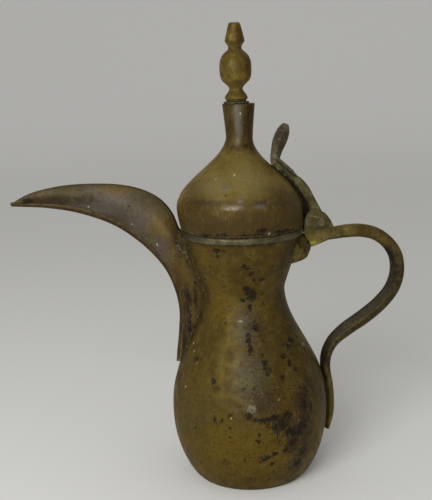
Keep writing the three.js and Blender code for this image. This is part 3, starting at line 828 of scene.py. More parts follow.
class Mark(Enum):
    """A kind of mark on the metal, or of painted shade, highlight or sheen laid the same way."""

    # Dark soot blotches, and also painted shade in gaps and beside parts.
    SOOT = Stain((13, 10, 8), 0.95, 0.7, 0.05, 0.5, 0.25)
    # Grime, and also painted shade on the saddle lug.
    GRIME_AND_SHADE = Stain((46, 36, 26), 0.75, 0.6, 0.2, 1.0, 0.5)
    PURPLE = Stain((46, 33, 24), 0.85, 0.55, 0.3, 1.2, 0.4)
    BROWN = Stain((62, 40, 16), 0.6, 0.5, 0.5, 0.7, 0.7)
    # A tobacco brown: stains, and also painted shade on the pot's right side.
    TOBACCO = Stain((52, 40, 18), 0.75, 0.5, 0.4, 0.5, 0.8)
    SHADOW = Stain((24, 24, 18), 0.92, 0.5, 0.3, 0.35, 0.3)
    # A darker tone along the handle's lower run.
    RUBBED = Stain((36, 28, 14), 0.88, 0.5, 0.4, 0.5, 0.8)
    SKIN = Stain((84, 69, 31), 0.85, 0.45, 0.5, 0.5, 0.8)
    MAUVE = Stain((88, 80, 76), 0.65, 0.5, 0.3, 0.6, 0.9)
    # A bright olive: a lighter tone on the fork, and a painted highlight along the saddle lug's
    # rim.
    BRIGHT = Stain((112, 100, 52), 0.6, 0.4, 0.5, 0.6, 0.5)
    # Rougher and less metallic, and painted darker to tone down a highlight.
    DULL = Stain((64, 51, 23), 0.6, 0.8, 0.05, 0.5, 0.9)
    VERDIGRIS = Stain((100, 107, 86), 0.5, 0.65, 0.1, 0.8, 0.6)
    # Painted sheen where the lid's shoulder catches the light.
    PAINTED_SHEEN = Stain((138, 125, 78), 0.58, 0.5, 0.4, 0.4, 0.9)
    # A smoky tone, and also painted shade along the lid's crease.
    SMOKE = Stain((46, 41, 33), 0.65, 0.5, 0.4, 0.4, 0.8)
    # A dark umber: stains on some pieces, and painted shade on the lid, the strap and the bead.
    UMBER = Stain((34, 25, 16), 0.85, 0.45, 0.5, 0.3, 0.6)
    # A golden olive: yellower tarnish, and also painted light on the lower belly.
    GOLD = Stain((106, 85, 26), 0.65, 0.48, 0.6, 0.6, 0.8)
    GREEN = Stain((76, 68, 36), 0.5, 0.55, 0.4, 0.6, 0.8)
    GREY = Stain((72, 67, 54), 0.75, 0.5, 0.4, 0.9, 0.7)
    # Pale spots, one of them a painted highlight on the belly.
    PALE = Stain((132, 128, 108), 0.8, 0.5, 0.4, 0.5, 0.5)
    SPECK = Stain((196, 190, 168), 0.85, 0.6, 0.0, 0.3, 0.4)
    GLINT = Stain((118, 113, 104), 0.65, 0.24, 0.8, 0.3, 0.8)
    RED = Stain((104, 48, 28), 0.45, 0.5, 0.4, 0.5, 0.8)
    LIME = Stain((150, 142, 50), 0.8, 0.6, 0.1, 0.5, 0.5)


@dataclass(frozen=True)
class BrassFinish:
    """Old brass under its tarnish, as one of the pot's pieces wears it."""

    name: str
    dark: Tone
    body: Tone
    light: Tone
    speck: Tone = (150, 138, 96)
    broad: float = 26.0
    fine: float = 130.0
    roughness: Row = (0.36, 0.58)
    metal: float = 0.62
    sheen: float = 0.22
    pitting: float = 0.14
    pit_size: float = 0.42
    wear: float = 0.5
    bump: float = 0.55
    stretch: Point = (700.0, 700.0, 60.0)
    shift: float = 0.0
    fray: float = 4.0
    warm: Tone = (84, 58, 20)
    warmth: float = 0.25
    freckle: float = 0.4
    pit_field: tuple[Spot, ...] = ()
    marks: tuple[tuple[Mark, tuple[Spot, ...]], ...] = ()


class Surface:
    """A material in the making: its colour, its roughness and its metallic share."""

    RAGGED_SCALE = 330.0
    SHAKE_SCALE = 420.0
    FRECKLE_SCALE = 520.0
    GRAIN_SCALE = 1500.0
    RELIEF = 0.4 * MM

    def __init__(self, finish: BrassFinish, effects: Effects) -> None:
        """Builds the material of a finish.

        Args:
            finish: The finish.
            effects: The shared effects.
        """
        self.finish, self.effects = finish, effects
        self.material = bpy.data.materials.new(finish.name)
        self.material.use_nodes = True
        self.material.node_tree.nodes.clear()
        self.graph = Graph(self.material.node_tree)
        place = self.graph.add("TexCoord").outputs["Object"]
        moved = {"Vector": place, "Location": (finish.shift, finish.shift / 2, 0.0)}
        self.here = self.graph.add("Mapping", moved).outputs[0]
        self.ragged = self.graph.cloud(self.here, self.RAGGED_SCALE, 8.0, 0.7)
        reach = finish.fray * MM
        self.bent = self.graph.shaken(place, self.here, self.SHAKE_SCALE, 6.0, reach)
        self._tarnish()
        self._stain()
        pits, lines = self._pit()
        self._rub(pits)
        self._join(pits, lines)

    def _lay(self, mask: Value, tone: Tone) -> None:
        """Lays a tone over the colour."""
        self.colour = self.graph.blend(mask, self.colour, linear(tone))

    def _dull(self, mask: Value, rough: float, metal: float) -> None:
        """Brings the roughness and the metallic share towards new ones."""
        self.rough = self.graph.slide(mask, self.rough, rough)
        self.metal = self.graph.slide(mask, self.metal, metal)

    def _mottled(self, scale: float, low: float, high: float) -> Socket:
        """Returns the mask of cloudy patches, between two values of their noise."""
        inputs = {"Vector": self.here, "Scale": scale, "Low": low, "High": high}
        return self.graph.use(self.effects.mottle, **inputs).outputs[0]

    def _inside(self, spots: Sequence[Spot], warp: float, soft: float) -> Socket:
        """Masks the inside of some spots.

        Args:
            spots: Each spot's X, Y, Z, half width and half height in millimetres.
            warp: How far the noise moves their edges.
            soft: How softly they end.

        Returns:
            The mask.
        """
        inputs = {"Vector": self.bent, "Before": NOWHERE}
        for x, y, z, wide, high in spots:
            inputs["Centre"] = (x * MM, y * MM, z * MM)
            inputs["Sizes"] = (1 / (wide * MM), 1 / (wide * MM), 1 / (high * MM))
            inputs["Before"] = self.graph.use(self.effects.nearest, **inputs).outputs[0]
        edge = {"Distance": inputs["Before"], "Ragged": self.ragged, "Warp": warp, "Soft": soft}
        return self.graph.use(self.effects.ragged, **edge).outputs[0]

    def _tarnish(self) -> None:
        """Lays the tarnish that lies under every placed mark."""
        g, look = self.graph, self.finish
        fine = self._mottled(look.fine, 0.38, 0.66)
        shade = g.times(g.rest(fine), 0.6)
        broad = self._mottled(look.broad, 0.36, 0.64)
        self.colour = g.blend(broad, linear(look.body), linear(look.light))
        self.rough = g.slide(fine, look.roughness[1], look.roughness[0])
        self.metal = g.slide(shade, look.metal, look.metal * 0.6)
        rust = self._mottled(look.broad * 1.7, 0.48, 0.7)
        self._lay(g.times(rust, look.warmth), look.warm)
        self._lay(shade, look.dark)

    def _stain(self) -> None:
        """Lays the placed marks."""
        for mark, spots in self.finish.marks:
            stain = mark.value
            inside = self._inside(spots, stain.warp, stain.soft)
            mask = self.graph.times(inside, stain.strength)
            self._lay(mask, stain.tone)
            self._dull(mask, stain.roughness, stain.metal)

    def _pit(self) -> tuple[Socket, Socket]:
        """Scatters freckles and draws rubbed lines, and finds where the pits lie.

        Returns:
            The masks of the pits and of the lines.
        """
        g, look, effects = self.graph, self.finish, self.effects
        amount, pepper = look.pitting, look.freckle
        if look.pit_field:
            region = self._inside(look.pit_field, 0.5, 0.6)
            amount, pepper = g.slide(region, amount, 1.0), g.slide(region, pepper, 1.0)
        pits = g.use(effects.pits, Vector=self.here, Amount=amount, Size=look.pit_size)
        lines = g.use(effects.scratches, Vector=self.here, Stretch=look.stretch)
        freckle = self._mottled(self.FRECKLE_SCALE, 0.46, 0.68)
        self._lay(g.times(freckle, pepper), look.dark)
        self._lay(g.times(lines.outputs[0], 0.25), look.speck)
        return pits.outputs[0], lines.outputs[0]

    def _rub(self, pits: Socket) -> None:
        """Rubs the edges bright, and leaves grime in the hollows and in the pits.

        Args:
            pits: The mask of the pits.
        """
        g, look = self.graph, self.finish
        worn = g.use(self.effects.wear).outputs
        edge = g.times(worn["Edge"], look.wear)
        edge = g.times(edge, g.between(self.ragged, 0.3, 0.6))
        self._lay(edge, look.speck)
        self._lay(g.times(worn["Hollow"], 0.55), look.dark)
        self._lay(g.times(pits, 0.8), PIT_TONE)
        self._dull(pits, 0.8, 0.1)
        self.rough = g.slide(edge, self.rough, 0.34)

    def _join(self, pits: Socket, lines: Socket) -> None:
        """Gives the relief and joins everything in the shader.

        Args:
            pits: The mask of the pits.
            lines: The mask of the rubbed lines.
        """
        g, look = self.graph, self.finish
        height = g.times(g.cloud(self.here, self.GRAIN_SCALE, 3.0, 0.6), 0.25)
        height = g.math("ADD", height, g.times(self.ragged, 0.9))
        height = g.math("SUBTRACT", height, g.times(pits, 0.9))
        height = g.math("SUBTRACT", height, g.times(lines, 0.12))
        relief = {"Strength": look.bump, "Distance": self.RELIEF, "Height": height}
        inputs = {
            "Base Color": self.colour,
            "Roughness": self.rough,
            "Metallic": self.metal,
            "Specular IOR Level": look.sheen,
            "Specular Tint": BRASS_TINT,
            "Normal": g.add("Bump", relief).outputs[0],
        }
        shader = g.add("BsdfPrincipled", inputs)
        g.feed(g.add("OutputMaterial").inputs["Surface"], shader.outputs[0])


class FinishShop:
    """Keeps one material for each finish, and dresses the pieces."""

    def __init__(self) -> None:
        """Builds the shared effects."""
        self.effects = Effects()
        self.made: dict[str, bpy.types.Material] = {}

    def coat(self, piece: Piece, finish: BrassFinish) -> None:
        """Gives a piece its material, which is built on first use.

        Args:
            piece: The piece.
            finish: Its finish.
        """
        if finish.name not in self.made:
            self.made[finish.name] = Surface(finish, self.effects).material
        piece.data.materials.clear()
        piece.data.materials.append(self.made[finish.name])

    def dress(
        self, piece: Piece, body: Body, slot: Slot, finish: BrassFinish, *nodes: str
    ) -> None:
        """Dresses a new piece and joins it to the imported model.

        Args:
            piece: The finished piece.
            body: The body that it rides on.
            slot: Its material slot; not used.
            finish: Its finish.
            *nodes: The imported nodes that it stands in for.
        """
        self.coat(piece, finish)
        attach(piece, body.value)
        if nodes:
            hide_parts(*nodes)
        LOG.info("%s: %d faces on %s", piece.name, len(piece.data.polygons), body.value)


def chain(start: Row, end: Row, count: int, wide: float, high: float) -> tuple[Spot, ...]:
    """Returns a straight row of spots, from its first middle to its last."""
    middles = [tuple(mix(a, b, t) for a, b in zip(start, end)) for t in evenly(0, 1, count)]
    return tuple((*middle, wide, high) for middle in middles)


BODY_MARKS = (
    # Yellower tarnish; the broad low spot at the front also paints light onto the lower belly.
    (Mark.GOLD, (
        (-13, -54, 34, 44, 24), (-22, -22, 136, 12, 16), (-42, -34, 74, 14, 26),
        (-26, -22, 168, 8, 12),
    )),
    (Mark.GREEN, ((-42, -38, 60, 16, 26), (26, -14, 124, 8, 10), (39, -16, 99, 5, 5))),
    (Mark.GREY, ((-2, -34, 118, 8, 16), (-1, -49, 84, 12, 24), (50, -22, 62, 6, 16))),
    # The first pale spot is a painted highlight on the front of the belly.
    (Mark.PALE, ((-1, -56, 67, 3, 3), (39, -16, 99, 2.2, 1.5), (-6, -32, 122, 1.2, 1.2))),
    (Mark.PURPLE, (
        (18, -53, 57, 8, 5), (27, -49, 49, 8, 6), (34, -44, 51, 7, 9), (27, -49, 38, 7, 7),
        (34, -42, 29, 7, 8), (30, -43, 20, 7, 7), (36, -41, 66, 7, 12), (42, -34, 78, 4, 10),
    )),
    (Mark.GRIME_AND_SHADE, (
        (5, -33, 117, 3.6, 3.8), (27, -30, 102, 2.7, 2.5), (-33, -9, 119, 4, 6),
        (-37, -26, 94, 4, 2), (-24, -46, 79, 2.4, 1.5), (-51, -13, 77, 4.9, 3),
        (9, -53, 70, 7, 8), (36, -42, 40, 5, 6), (-27, -14, 138, 3, 16),
    )),
    # The last brown spot and the tobacco spots darken the pot's right side, away from the key
    # light: painted shade over a browner tone.
    (Mark.BROWN, (
        (-2, -49, 12, 4, 3), (-16, -48, 16, 3, 2), (-19, -50, 26, 3, 2), (30, -10, 146, 14, 36),
    )),
    (Mark.TOBACCO, ((30, -12, 130, 9, 24), (25, -22, 166, 7, 12), (52, -24, 70, 8, 24))),
    # Soot blotches; the two narrow spots at X 30.5 are painted shadow on the neck beside the
    # saddle lug.
    (Mark.SOOT, (
        (15, -54, 60, 4, 1.6), (20, -52, 54, 4.5, 3.4), (28, -49, 47, 5, 3), (35, -44, 50, 4, 4),
        (28, -49, 39, 3, 3), (34, -42, 30, 3, 4), (31, -42, 20, 3, 3), (36, -42, 64, 2, 5),
        (41, -38, 62, 2, 5), (-40, -8, 104, 2, 5), (30.5, -18.5, 168, 1.4, 7),
        (30.5, -17, 159, 1.6, 3), (-34, -9, 121, 1.5, 3), (-21, -35, 173, 2.9, 1.6),
        (-3, -37, 162, 1.8, 1.6), (0, -36, 160, 1.6, 1.6), (2, -34, 156, 1.9, 1.3),
        (4, -33, 151, 1.6, 1.1), (9, -31, 151, 3.1, 1.1), (10, -28, 140, 2.0, 1.4),
        (-1, -31, 145, 2.9, 2.6), (2, -29, 140, 4.3, 4.3), (-4, -29, 136, 1.8, 1.3),
        (1, -30, 131, 1.4, 2.6), (5, -33, 117, 2.3, 2.3), (-1, -35, 113, 1.9, 2.3),
        (-1, -37, 109, 1.9, 2.6), (0, -40, 104, 2.3, 3.6), (8, -41, 100, 1.9, 1.1),
        (10, -43, 95, 2.4, 2.2), (29, -25, 105, 2.5, 2.9), (27, -30, 102, 2.2, 1.9),
        (23, -36, 97, 2.4, 1.8), (11, -45, 91, 2.4, 5.5), (27, -37, 92, 2.0, 2.4),
        (31, -37, 88, 2.2, 2.0), (-37, -26, 94, 2.4, 1.2), (-3, -56, 62, 2.3, 3.6),
        (6, -56, 59, 8.4, 1.4), (17, -54, 53, 4.3, 6.1), (24, -51, 59, 3.6, 3.6),
        (32, -47, 47, 5.3, 4.7), (27, -50, 49, 6.0, 2.4), (-26, -43, 83, 2.0, 1.8),
        (21, -44, 85, 1.6, 1.6), (-26, -50, 58, 1.9, 2.4), (-21, -52, 58, 1.4, 1.4),
        (-16, -53, 62, 1.4, 1.7), (4, -56, 49, 1.4, 1.7), (3, -56, 44, 1.4, 1.7),
        (8, -54, 31, 4.3, 2.2), (15, -53, 33, 2.6, 1.4), (13, -52, 25, 1.9, 1.6),
        (22, -51, 34, 2.4, 1.8),
    )),
    (Mark.SPECK, (
        (-39, -14, 102, 0.6, 0.9), (-39, -20, 98, 0.6, 0.8), (-37, -28, 92, 0.6, 0.8),
        (-15, -54, 60, 0.5, 0.7), (-46, -27, 74, 0.5, 1.1), (18, -48, 79, 0.5, 0.6),
        (18, -51, 72, 0.4, 0.4), (17, -40, 97, 0.4, 0.4),
    )),
)
BODY_FINISH = BrassFinish(
    name="Body Olive Tarnish", dark=(51, 35, 10), body=(80, 66, 21), light=(92, 78, 30),
    metal=0.45, roughness=(0.42, 0.58), pitting=0.3, pit_size=0.5, fray=5.5, warmth=0.3,
    freckle=0.55, marks=BODY_MARKS,
    pit_field=(
        (28, -42, 60, 24, 36), (2, -49, 84, 11, 22), (34, -24, 100, 12, 26),
        (4, -34, 118, 10, 12), (-34, -24, 88, 6, 14),
    ),
)
BEAD_FINISH = BrassFinish(
    name="Bead Rubbed Grey", dark=(43, 38, 24), body=(86, 81, 56), light=(112, 108, 81),
    broad=60.0, roughness=(0.3, 0.45), wear=0.6, shift=0.31,
    marks=(
        (Mark.GRIME_AND_SHADE, ((-40, -20, 181, 12, 2), (0, -42, 182.6, 44, 0.9), (34, -26, 182, 10, 2))),
        # Painted shade along the bead's lower edge.
        (Mark.UMBER, ((0, -42, 177.4, 50, 0.6),)),
    ),
)
BEAK_FINISH = BrassFinish(
    name="Beak Mauve Grey", dark=(52, 43, 29), body=(80, 72, 57), light=(89, 83, 72), broad=24.0,
    fine=90.0, metal=0.35, roughness=(0.46, 0.62), bump=0.4, shift=0.7, warm=(92, 72, 44),
    warmth=0.4,
    marks=(
        (Mark.GOLD, ((-48, -8, 152, 9, 26), (-60, -8, 188, 12, 12), (-84, -6, 214, 16, 5))),
        (Mark.GREEN, ((-150, -3, 203, 22, 10), (-122, -4, 213, 16, 5), (-66, -8, 204, 14, 8))),
        (Mark.BROWN, ((-49, -6, 132, 4, 36), (-90, -6, 192, 16, 5), (-128, -4, 200, 22, 4))),
        (Mark.SKIN, ((-38, -7, 120, 9, 26), (-36, -7, 140, 9, 20), (-40, -8, 158, 7, 16))),
        (Mark.MAUVE, ((-102, -5, 203, 25, 9), (-74, -6, 191, 11, 9), (-60, -6, 172, 5, 8))),
        (Mark.TOBACCO, ((-48, -4, 112, 7, 30), (-148, -3, 204, 18, 4), (-128, -4, 208, 14, 5))),
        (Mark.GRIME_AND_SHADE, ((-46, -9, 170, 3, 8), (-135, -4, 206, 14, 3), (-112, -5, 207, 10, 3))),
        (Mark.VERDIGRIS, (
            (-48, -9, 171.5, 1, 1.6), (-46, -9, 169, 0.9, 1.4), (-43.6, -8.5, 166.8, 1, 1),
            (-41.6, -8, 164, 0.9, 1.8), (-40.6, -8, 160, 0.8, 1.6),
        )),
        (Mark.UMBER, ((-43, -6, 122, 2.6, 24), (-37, -6.5, 134, 1.6, 10), (-46, -4, 98, 2.4, 9))),
        (Mark.PURPLE, ((-41.6, -6, 133, 3, 6), (-42, -5, 114, 3, 8))),
        # Soot along the root seam; the spot at X -152 is painted shade on the tip's end face.
        (Mark.SOOT, (
            (-41.6, -6.2, 134, 1.9, 3), (-42.4, -4.5, 111, 1.8, 4.4), (-41.4, -5, 120, 1, 1.6),
            (-46, -4, 97, 1.3, 2.4), (-36.6, -7, 144, 1.1, 1.6), (-48.6, -9, 173.6, 1.4, 1.2),
            (-46.6, -9, 167.4, 0.9, 1.2), (-44.6, -8.6, 170, 0.9, 1.1),
            (-42.8, -8.2, 164.4, 0.8, 1.1), (-40.2, -8, 162.4, 0.8, 1),
            (-41.8, -8, 160, 0.9, 1.4), (-40, -8, 156, 0.9, 2), (-152, -3, 205, 4, 3),
        )),
        (Mark.SPECK, (
            (-109.1, -5.2, 201.2, 0.6, 0.6), (-79.4, -5.9, 187.7, 0.8, 0.6),
            (-62.5, -6.2, 172.8, 0.5, 1),
        )),
    ),
)
KEEL_FINISH = BrassFinish(
    name="Keel Coppery Strip", dark=(34, 25, 15), body=(60, 44, 25), light=(76, 57, 34),
    broad=40.0, fine=200.0, metal=0.4, roughness=(0.42, 0.6), shift=1.1,
)
SOLDER_FINISH = BrassFinish(
    name="Solder Grey", dark=(26, 21, 12), body=(56, 45, 21), light=(78, 66, 38), broad=160.0,
    fine=420.0, metal=0.3, roughness=(0.5, 0.72), bump=0.9, shift=1.5, pitting=0.7, pit_size=0.6,
    freckle=0.6,
    marks=(
        (Mark.TOBACCO, ((-36, -8, 128, 9, 32),)),
        (Mark.UMBER, ((-35, -9, 132, 3, 12), (-38, -7, 114, 4, 8))),
        (Mark.SOOT, ((-44, -12, 172, 5, 9), (-40, -14, 160, 2, 3))),
    ),
)
LID_FINISH = BrassFinish(
    name="Lid Golden Tarnish", dark=(81, 61, 22), body=(112, 95, 41), light=(125, 109, 53),
    broad=24.0, fine=110.0, metal=0.45, roughness=(0.4, 0.54), pitting=0.12, shift=0.2,
    freckle=0.25, warm=(118, 84, 26), warmth=0.3,
    marks=(
        (Mark.GREEN, ((38, -16, 197, 9, 12), (20, -36, 212, 14, 7))),
        (Mark.BROWN, ((-2, -40, 193, 64, 11), (-30, -25, 213, 16, 6), (-8, 0, 256, 13, 17))),
        # The first umber spot is painted shade down the neck's right side.
        (Mark.UMBER, ((5.5, -7, 258, 6.8, 22), (0, -6, 240, 9, 3), (-3, -8, 268.6, 14, 1.3))),
        (Mark.TOBACCO, ((-2, -40, 190, 66, 8), (-31, -30, 203, 12, 8), (29, -26, 203, 16, 9))),
        # Rougher and less metallic below the crease, and painted darker to tone down the key
        # light's highlight.
        (Mark.DULL, ((-8, -43, 201.5, 20, 5.5), (-2, -43, 194, 40, 5))),
        # Painted shade on the lid's wall beside the strap.
        (Mark.UMBER, chain((34, -7, 211), (40, -12, 196), 8, 3, 2.4) + ((40.4, -9, 191, 3, 4),)),
        (Mark.TOBACCO, ((-4, -4, 257, 17, 19),)),
        # Painted sheen on the front of the shoulder.
        (Mark.PAINTED_SHEEN, ((0, -27, 219, 12, 12), (-20, -30, 216, 14, 7))),
        # Painted shade along the crease.
        (Mark.SMOKE, (
            (10, -41, 204.5, 6, 2.4), (-21, -36, 206, 14, 1.5), (22, -36, 203, 9, 1.6),
        )),
        (Mark.GRIME_AND_SHADE, ((0, -43, 184, 62, 1.6), (-41, -17, 184, 9, 2))),
        (Mark.SOOT, (
            (10, -42, 187, 3.6, 1.7), (-17, -41, 184.6, 5, 1.3), (-28, -35, 184, 5, 1),
            (4, -43, 184.3, 7, 1.1), (26, -34, 184.6, 9, 1.3),
        )),
        (Mark.GLINT, ((-4, -40, 207.5, 1.8, 3), (-9, -42, 203, 6, 1.6), (9, -41, 203, 3, 1.5))),
        (Mark.GLINT, ((-3, -10, 262, 2.6, 16), (-14, -33, 215, 1.8, 1.5))),
        (Mark.SPECK, (
            (14, -40, 185, 0.8, 0.5), (-7, -26, 223, 0.5, 0.5), (9, -23, 222, 0.5, 0.5),
            (-1.7, -10.7, 262.5, 0.5, 0.8), (-28, -17, 219, 0.5, 0.5), (-19, -25, 220, 0.5, 0.5),
        )),
    ),
)
FINIAL_FINISH = BrassFinish(
    name="Finial Cast Brass", dark=(64, 47, 15), body=(100, 83, 33), light=(119, 103, 47),
    broad=60.0, fine=240.0, roughness=(0.38, 0.52), metal=0.5, pitting=0.1, shift=0.9,
    freckle=0.15, warm=(120, 78, 26), warmth=0.3,
    marks=(
        (Mark.BROWN, ((5, -7, 294, 3, 7), (0, -4, 314, 4, 6), (4, -4, 276, 4, 5))),
        (Mark.GREEN, ((-4, -11, 293, 4, 4), (-9, -4, 276, 3, 4))),
        (Mark.RED, ((-4, -5, 318.4, 1, 1),)),
        (Mark.GRIME_AND_SHADE, ((-3.5, 0, 305.8, 7, 1), (-3.5, 0, 310.6, 9, 0.5), (-3.5, 0, 270, 12, 0.8))),
        (Mark.SOOT, ((-5, -10, 289, 0.9, 0.9),)),
    ),
)
CAP_FINISH = BrassFinish(
    name="Cap Dark Green", dark=(20, 24, 17), body=(38, 42, 30), light=(52, 58, 42), broad=60.0,
    fine=300.0, metal=0.3, roughness=(0.5, 0.7),
)
STRAP_FINISH = BrassFinish(
    name="Strap Grey Olive", dark=(43, 37, 20), body=(87, 80, 43), light=(107, 102, 65),
    broad=50.0, fine=200.0, metal=0.4, wear=0.4, shift=0.45, speck=(170, 169, 137), warmth=0.1,
    marks=(
        (Mark.SOOT, ((45, -3, 192, 5, 0.9),)),
        # The umber and soot chains are painted shade along the strap's edge next to the lid and
        # beside the knuckle.
        (Mark.UMBER, chain((26.4, -4.6, 221.6), (35.8, -4.6, 209.2), 10, 2.3, 2.3)),
        (Mark.UMBER, chain((36.8, -4, 207.6), (43.2, -3.4, 196), 8, 2.6, 2.6)),
        (Mark.SOOT, chain((27.6, -4.6, 219.4), (36.2, -4.4, 208.2), 9, 1.6, 1.6)),
        (Mark.SOOT, chain((36.4, -4, 207.8), (42.6, -3.4, 198), 7, 1.8, 1.8)),
        (Mark.SOOT, chain((43.4, -3, 197), (43, -3, 187), 5, 1.9, 2.6)),
        (Mark.VERDIGRIS, (
            (24, -4.5, 222.6, 2.4, 0.6), (28, -4.5, 219, 1.6, 0.5), (44, -3, 190, 2.5, 0.9),
        )),
    ),
)
# Near black: painted shade for the deep gap between the strap and the lid.
WEB_SHADE_FINISH = BrassFinish(
    name="Web Painted Shade", dark=(8, 7, 5), body=(18, 16, 11), light=(30, 28, 20), speck=(30, 27, 18),
    broad=90.0, fine=300.0, metal=0.2, roughness=(0.55, 0.75), shift=0.35, wear=0.1, warmth=0.0,
)
LEVER_FINISH = BrassFinish(
    name="Lever Grey Olive", dark=(40, 37, 26), body=(80, 74, 56), light=(102, 95, 74),
    broad=50.0, fine=200.0, metal=0.4, wear=0.35, shift=0.5, speck=(180, 170, 133), warmth=0.1,
    marks=(
        (Mark.GRIME_AND_SHADE, ((26, -3, 240, 3, 12), (14, 0, 228, 5, 3))),
    ),
)
HANDLE_FINISH = BrassFinish(
    name="Handle Rubbed Olive", dark=(52, 45, 19), body=(98, 86, 38), light=(121, 110, 57),
    broad=34.0, fine=170.0, metal=0.45, wear=0.5, shift=1.3, speck=(150, 140, 100),
    marks=(
        (Mark.GREEN, ((52, -6, 178, 12, 9), (62, -3, 60, 6, 18))),
        (Mark.BROWN, ((98, -3, 160, 12, 20), (84, -4, 177, 14, 5))),
        (Mark.BRIGHT, ((52, -6.4, 173, 9, 3.2), (48, -6.4, 169.5, 3, 2))),
        (Mark.GRIME_AND_SHADE, ((55, -6.4, 181.5, 6, 2.4), (61, -6, 186, 3, 6), (66, -4, 172, 12, 2))),
        (Mark.SMOKE, ((55, -6.4, 187, 7, 4.5), (50, -6.4, 181, 4, 3))),
        (Mark.VERDIGRIS, ((43, -6.4, 185, 1.4, 4), (46, -6.4, 190, 2, 1))),
        (Mark.PALE, ((50, -6.4, 188.6, 2.6, 0.35), (53, -6.4, 187.4, 1.6, 0.3))),
        (Mark.LIME, ((47.9, -6.4, 170, 1.6, 1.4),)),
    ),
)
SADDLE_FINISH = BrassFinish(
    name="Saddle Bright Olive", dark=(46, 37, 14), body=(92, 78, 32), light=(113, 98, 45),
    broad=60.0, fine=260.0, metal=0.45, wear=1.0, shift=0.6, speck=(160, 144, 70),
    marks=(
        # The grime and soot spots are painted shade on the lug's side and in the gap under the
        # fork; the bright ring is a painted highlight along the lug's rim.
        (Mark.GRIME_AND_SHADE, ((41, -8, 168, 4, 6.5),)),
        (Mark.SOOT, ((43.5, -6, 171, 1.6, 3), (41, -8, 166, 1.4, 2), (37.5, -10, 170, 1, 3))),
        (Mark.BRIGHT, (
            (38, -10, 175, 1.5, 1.2), (34.5, -12, 172, 1.2, 2.2), (33, -13, 168, 1.1, 2.5),
            (33.5, -12, 163.5, 1.2, 2), (36, -9.5, 160.5, 2, 1.2), (40, -7, 161.5, 1.6, 1.2),
        )),
    ),
)
RIVET_FINISH = BrassFinish(
    name="Rivet Dark", dark=(34, 29, 19), body=(70, 62, 40), light=(84, 76, 54), broad=90.0,
    fine=400.0, metal=0.4, shift=0.25, wear=0.2,
)


@dataclass
class SubAssembly:
    """A part of the pot that is built in one go and dressed by the shop."""

    shop: FinishShop

    def build(self) -> None:
        """Builds the pieces and dresses them."""
        raise NotImplementedError


@dataclass
class PotBody(SubAssembly):
    """The hammered pot, from its dished base to its mouth."""

    shape: PotShape = field(default_factory=PotShape)
    facets: int = 128
    rows: int = 84
    slot_half_width: float = 4.4
    slot_top: float = 172.0
    slot_length: float = 60.0
    hammer_depth: float = 0.45
    hammer_size: float = 24.0
    dents: tuple[Dent, ...] = (
        ((-3, -56, 61), (0, 0.7, 0), 7),
        ((3, -33, 118), (0, 0.5, 0), 8),
        ((24, -50, 52), (-0.3, 0.6, 0), 9),
        ((-24, -50, 38), (0.2, 0.4, 0), 10),
    )

    def build(self) -> None:
        """Builds the pot and dresses it."""
        pot = Bench.turn("pot_body", self._rows(), self.facets)
        Bench.hammer(pot, self.hammer_depth, self.hammer_size)
        Bench.dent(pot, self.dents)
        Bench.carve(pot, self._slot_tool())
        Bench.tidy(pot)
        nodes = ("body_lower", "body_upper", "base_disc")
        self.shop.dress(pot, Body.POT, Slot.AGED, BODY_FINISH, *nodes)

    def _rows(self) -> list[Round]:
        """Returns the rings, from under the base over the mouth and down inside."""
        s = self.shape
        rows = [(0, z, r) for r, z in ((3, 0.9), (20, 0.8), (33, 0.6), (37, 0.35), (39.2, 0.04))]
        rows += s.rounds([max(s.mouth_height * t, 0.2) for t in evenly(0, 1, self.rows)])
        rows.append((s.shift(s.mouth_height), s.mouth_height + 0.25, s.mouth_radius - 0.65))
        rows += s.rounds(evenly(s.mouth_height, 4.0, self.rows // 2), s.sheet)
        return rows + [(0, z, r) for r, z in ((s.base_radius - 4, 2.2), (20, 2.0), (3, 2.0))]

    def _slot_tool(self) -> Piece:
        """Returns the tapered solid that cuts the pouring slot through the neck."""
        w, top = self.slot_half_width, self.slot_top
        outline = [(-w, top - w), (-w * 0.75, top - w * 0.3), (0, top)]
        outline += [(w * 0.75, top - w * 0.3), (w, top - w), (0, top - self.slot_length)]
        rings = [[(x, y, z) for y, z in outline] for x in (-56, -16)]
        return Bench.loft("slot_tool", rings)


@dataclass
class MouthBead(SubAssembly):
    """The rounded ring of wire round the mouth."""

    middle_height: float = 179.75
    half_height: float = 2.65
    ring_radius: float = 42.0
    half_depth: float = 1.6
    forward: float = 2.1

    def build(self) -> None:
        """Builds the ring and dresses it."""
        Bench.clear()
        bpy.ops.mesh.primitive_torus_add(
            major_segments=160,
            minor_segments=20,
            major_radius=self.ring_radius * MM,
            minor_radius=self.half_height * MM,
            location=(0, 0, 0),
        )
        ring = bpy.context.object
        ring.name = ring.data.name = "mouth_bead"
        for corner in ring.data.vertices:
            x, y, z = corner.co / MM
            out = math.hypot(x, y)
            lump = 0.12 * unevenness(x, y, z, 9)
            depth = (out - self.ring_radius) * self.half_depth / self.half_height + lump
            keep = (self.ring_radius + depth) / out
            place = (x * keep - self.forward, y * keep, z + self.middle_height + lump)
            corner.co = Vector(place) * MM
        Bench.tidy(ring)
        self.shop.dress(ring, Body.POT, Slot.GREY, BEAD_FINISH, "rim_bead")


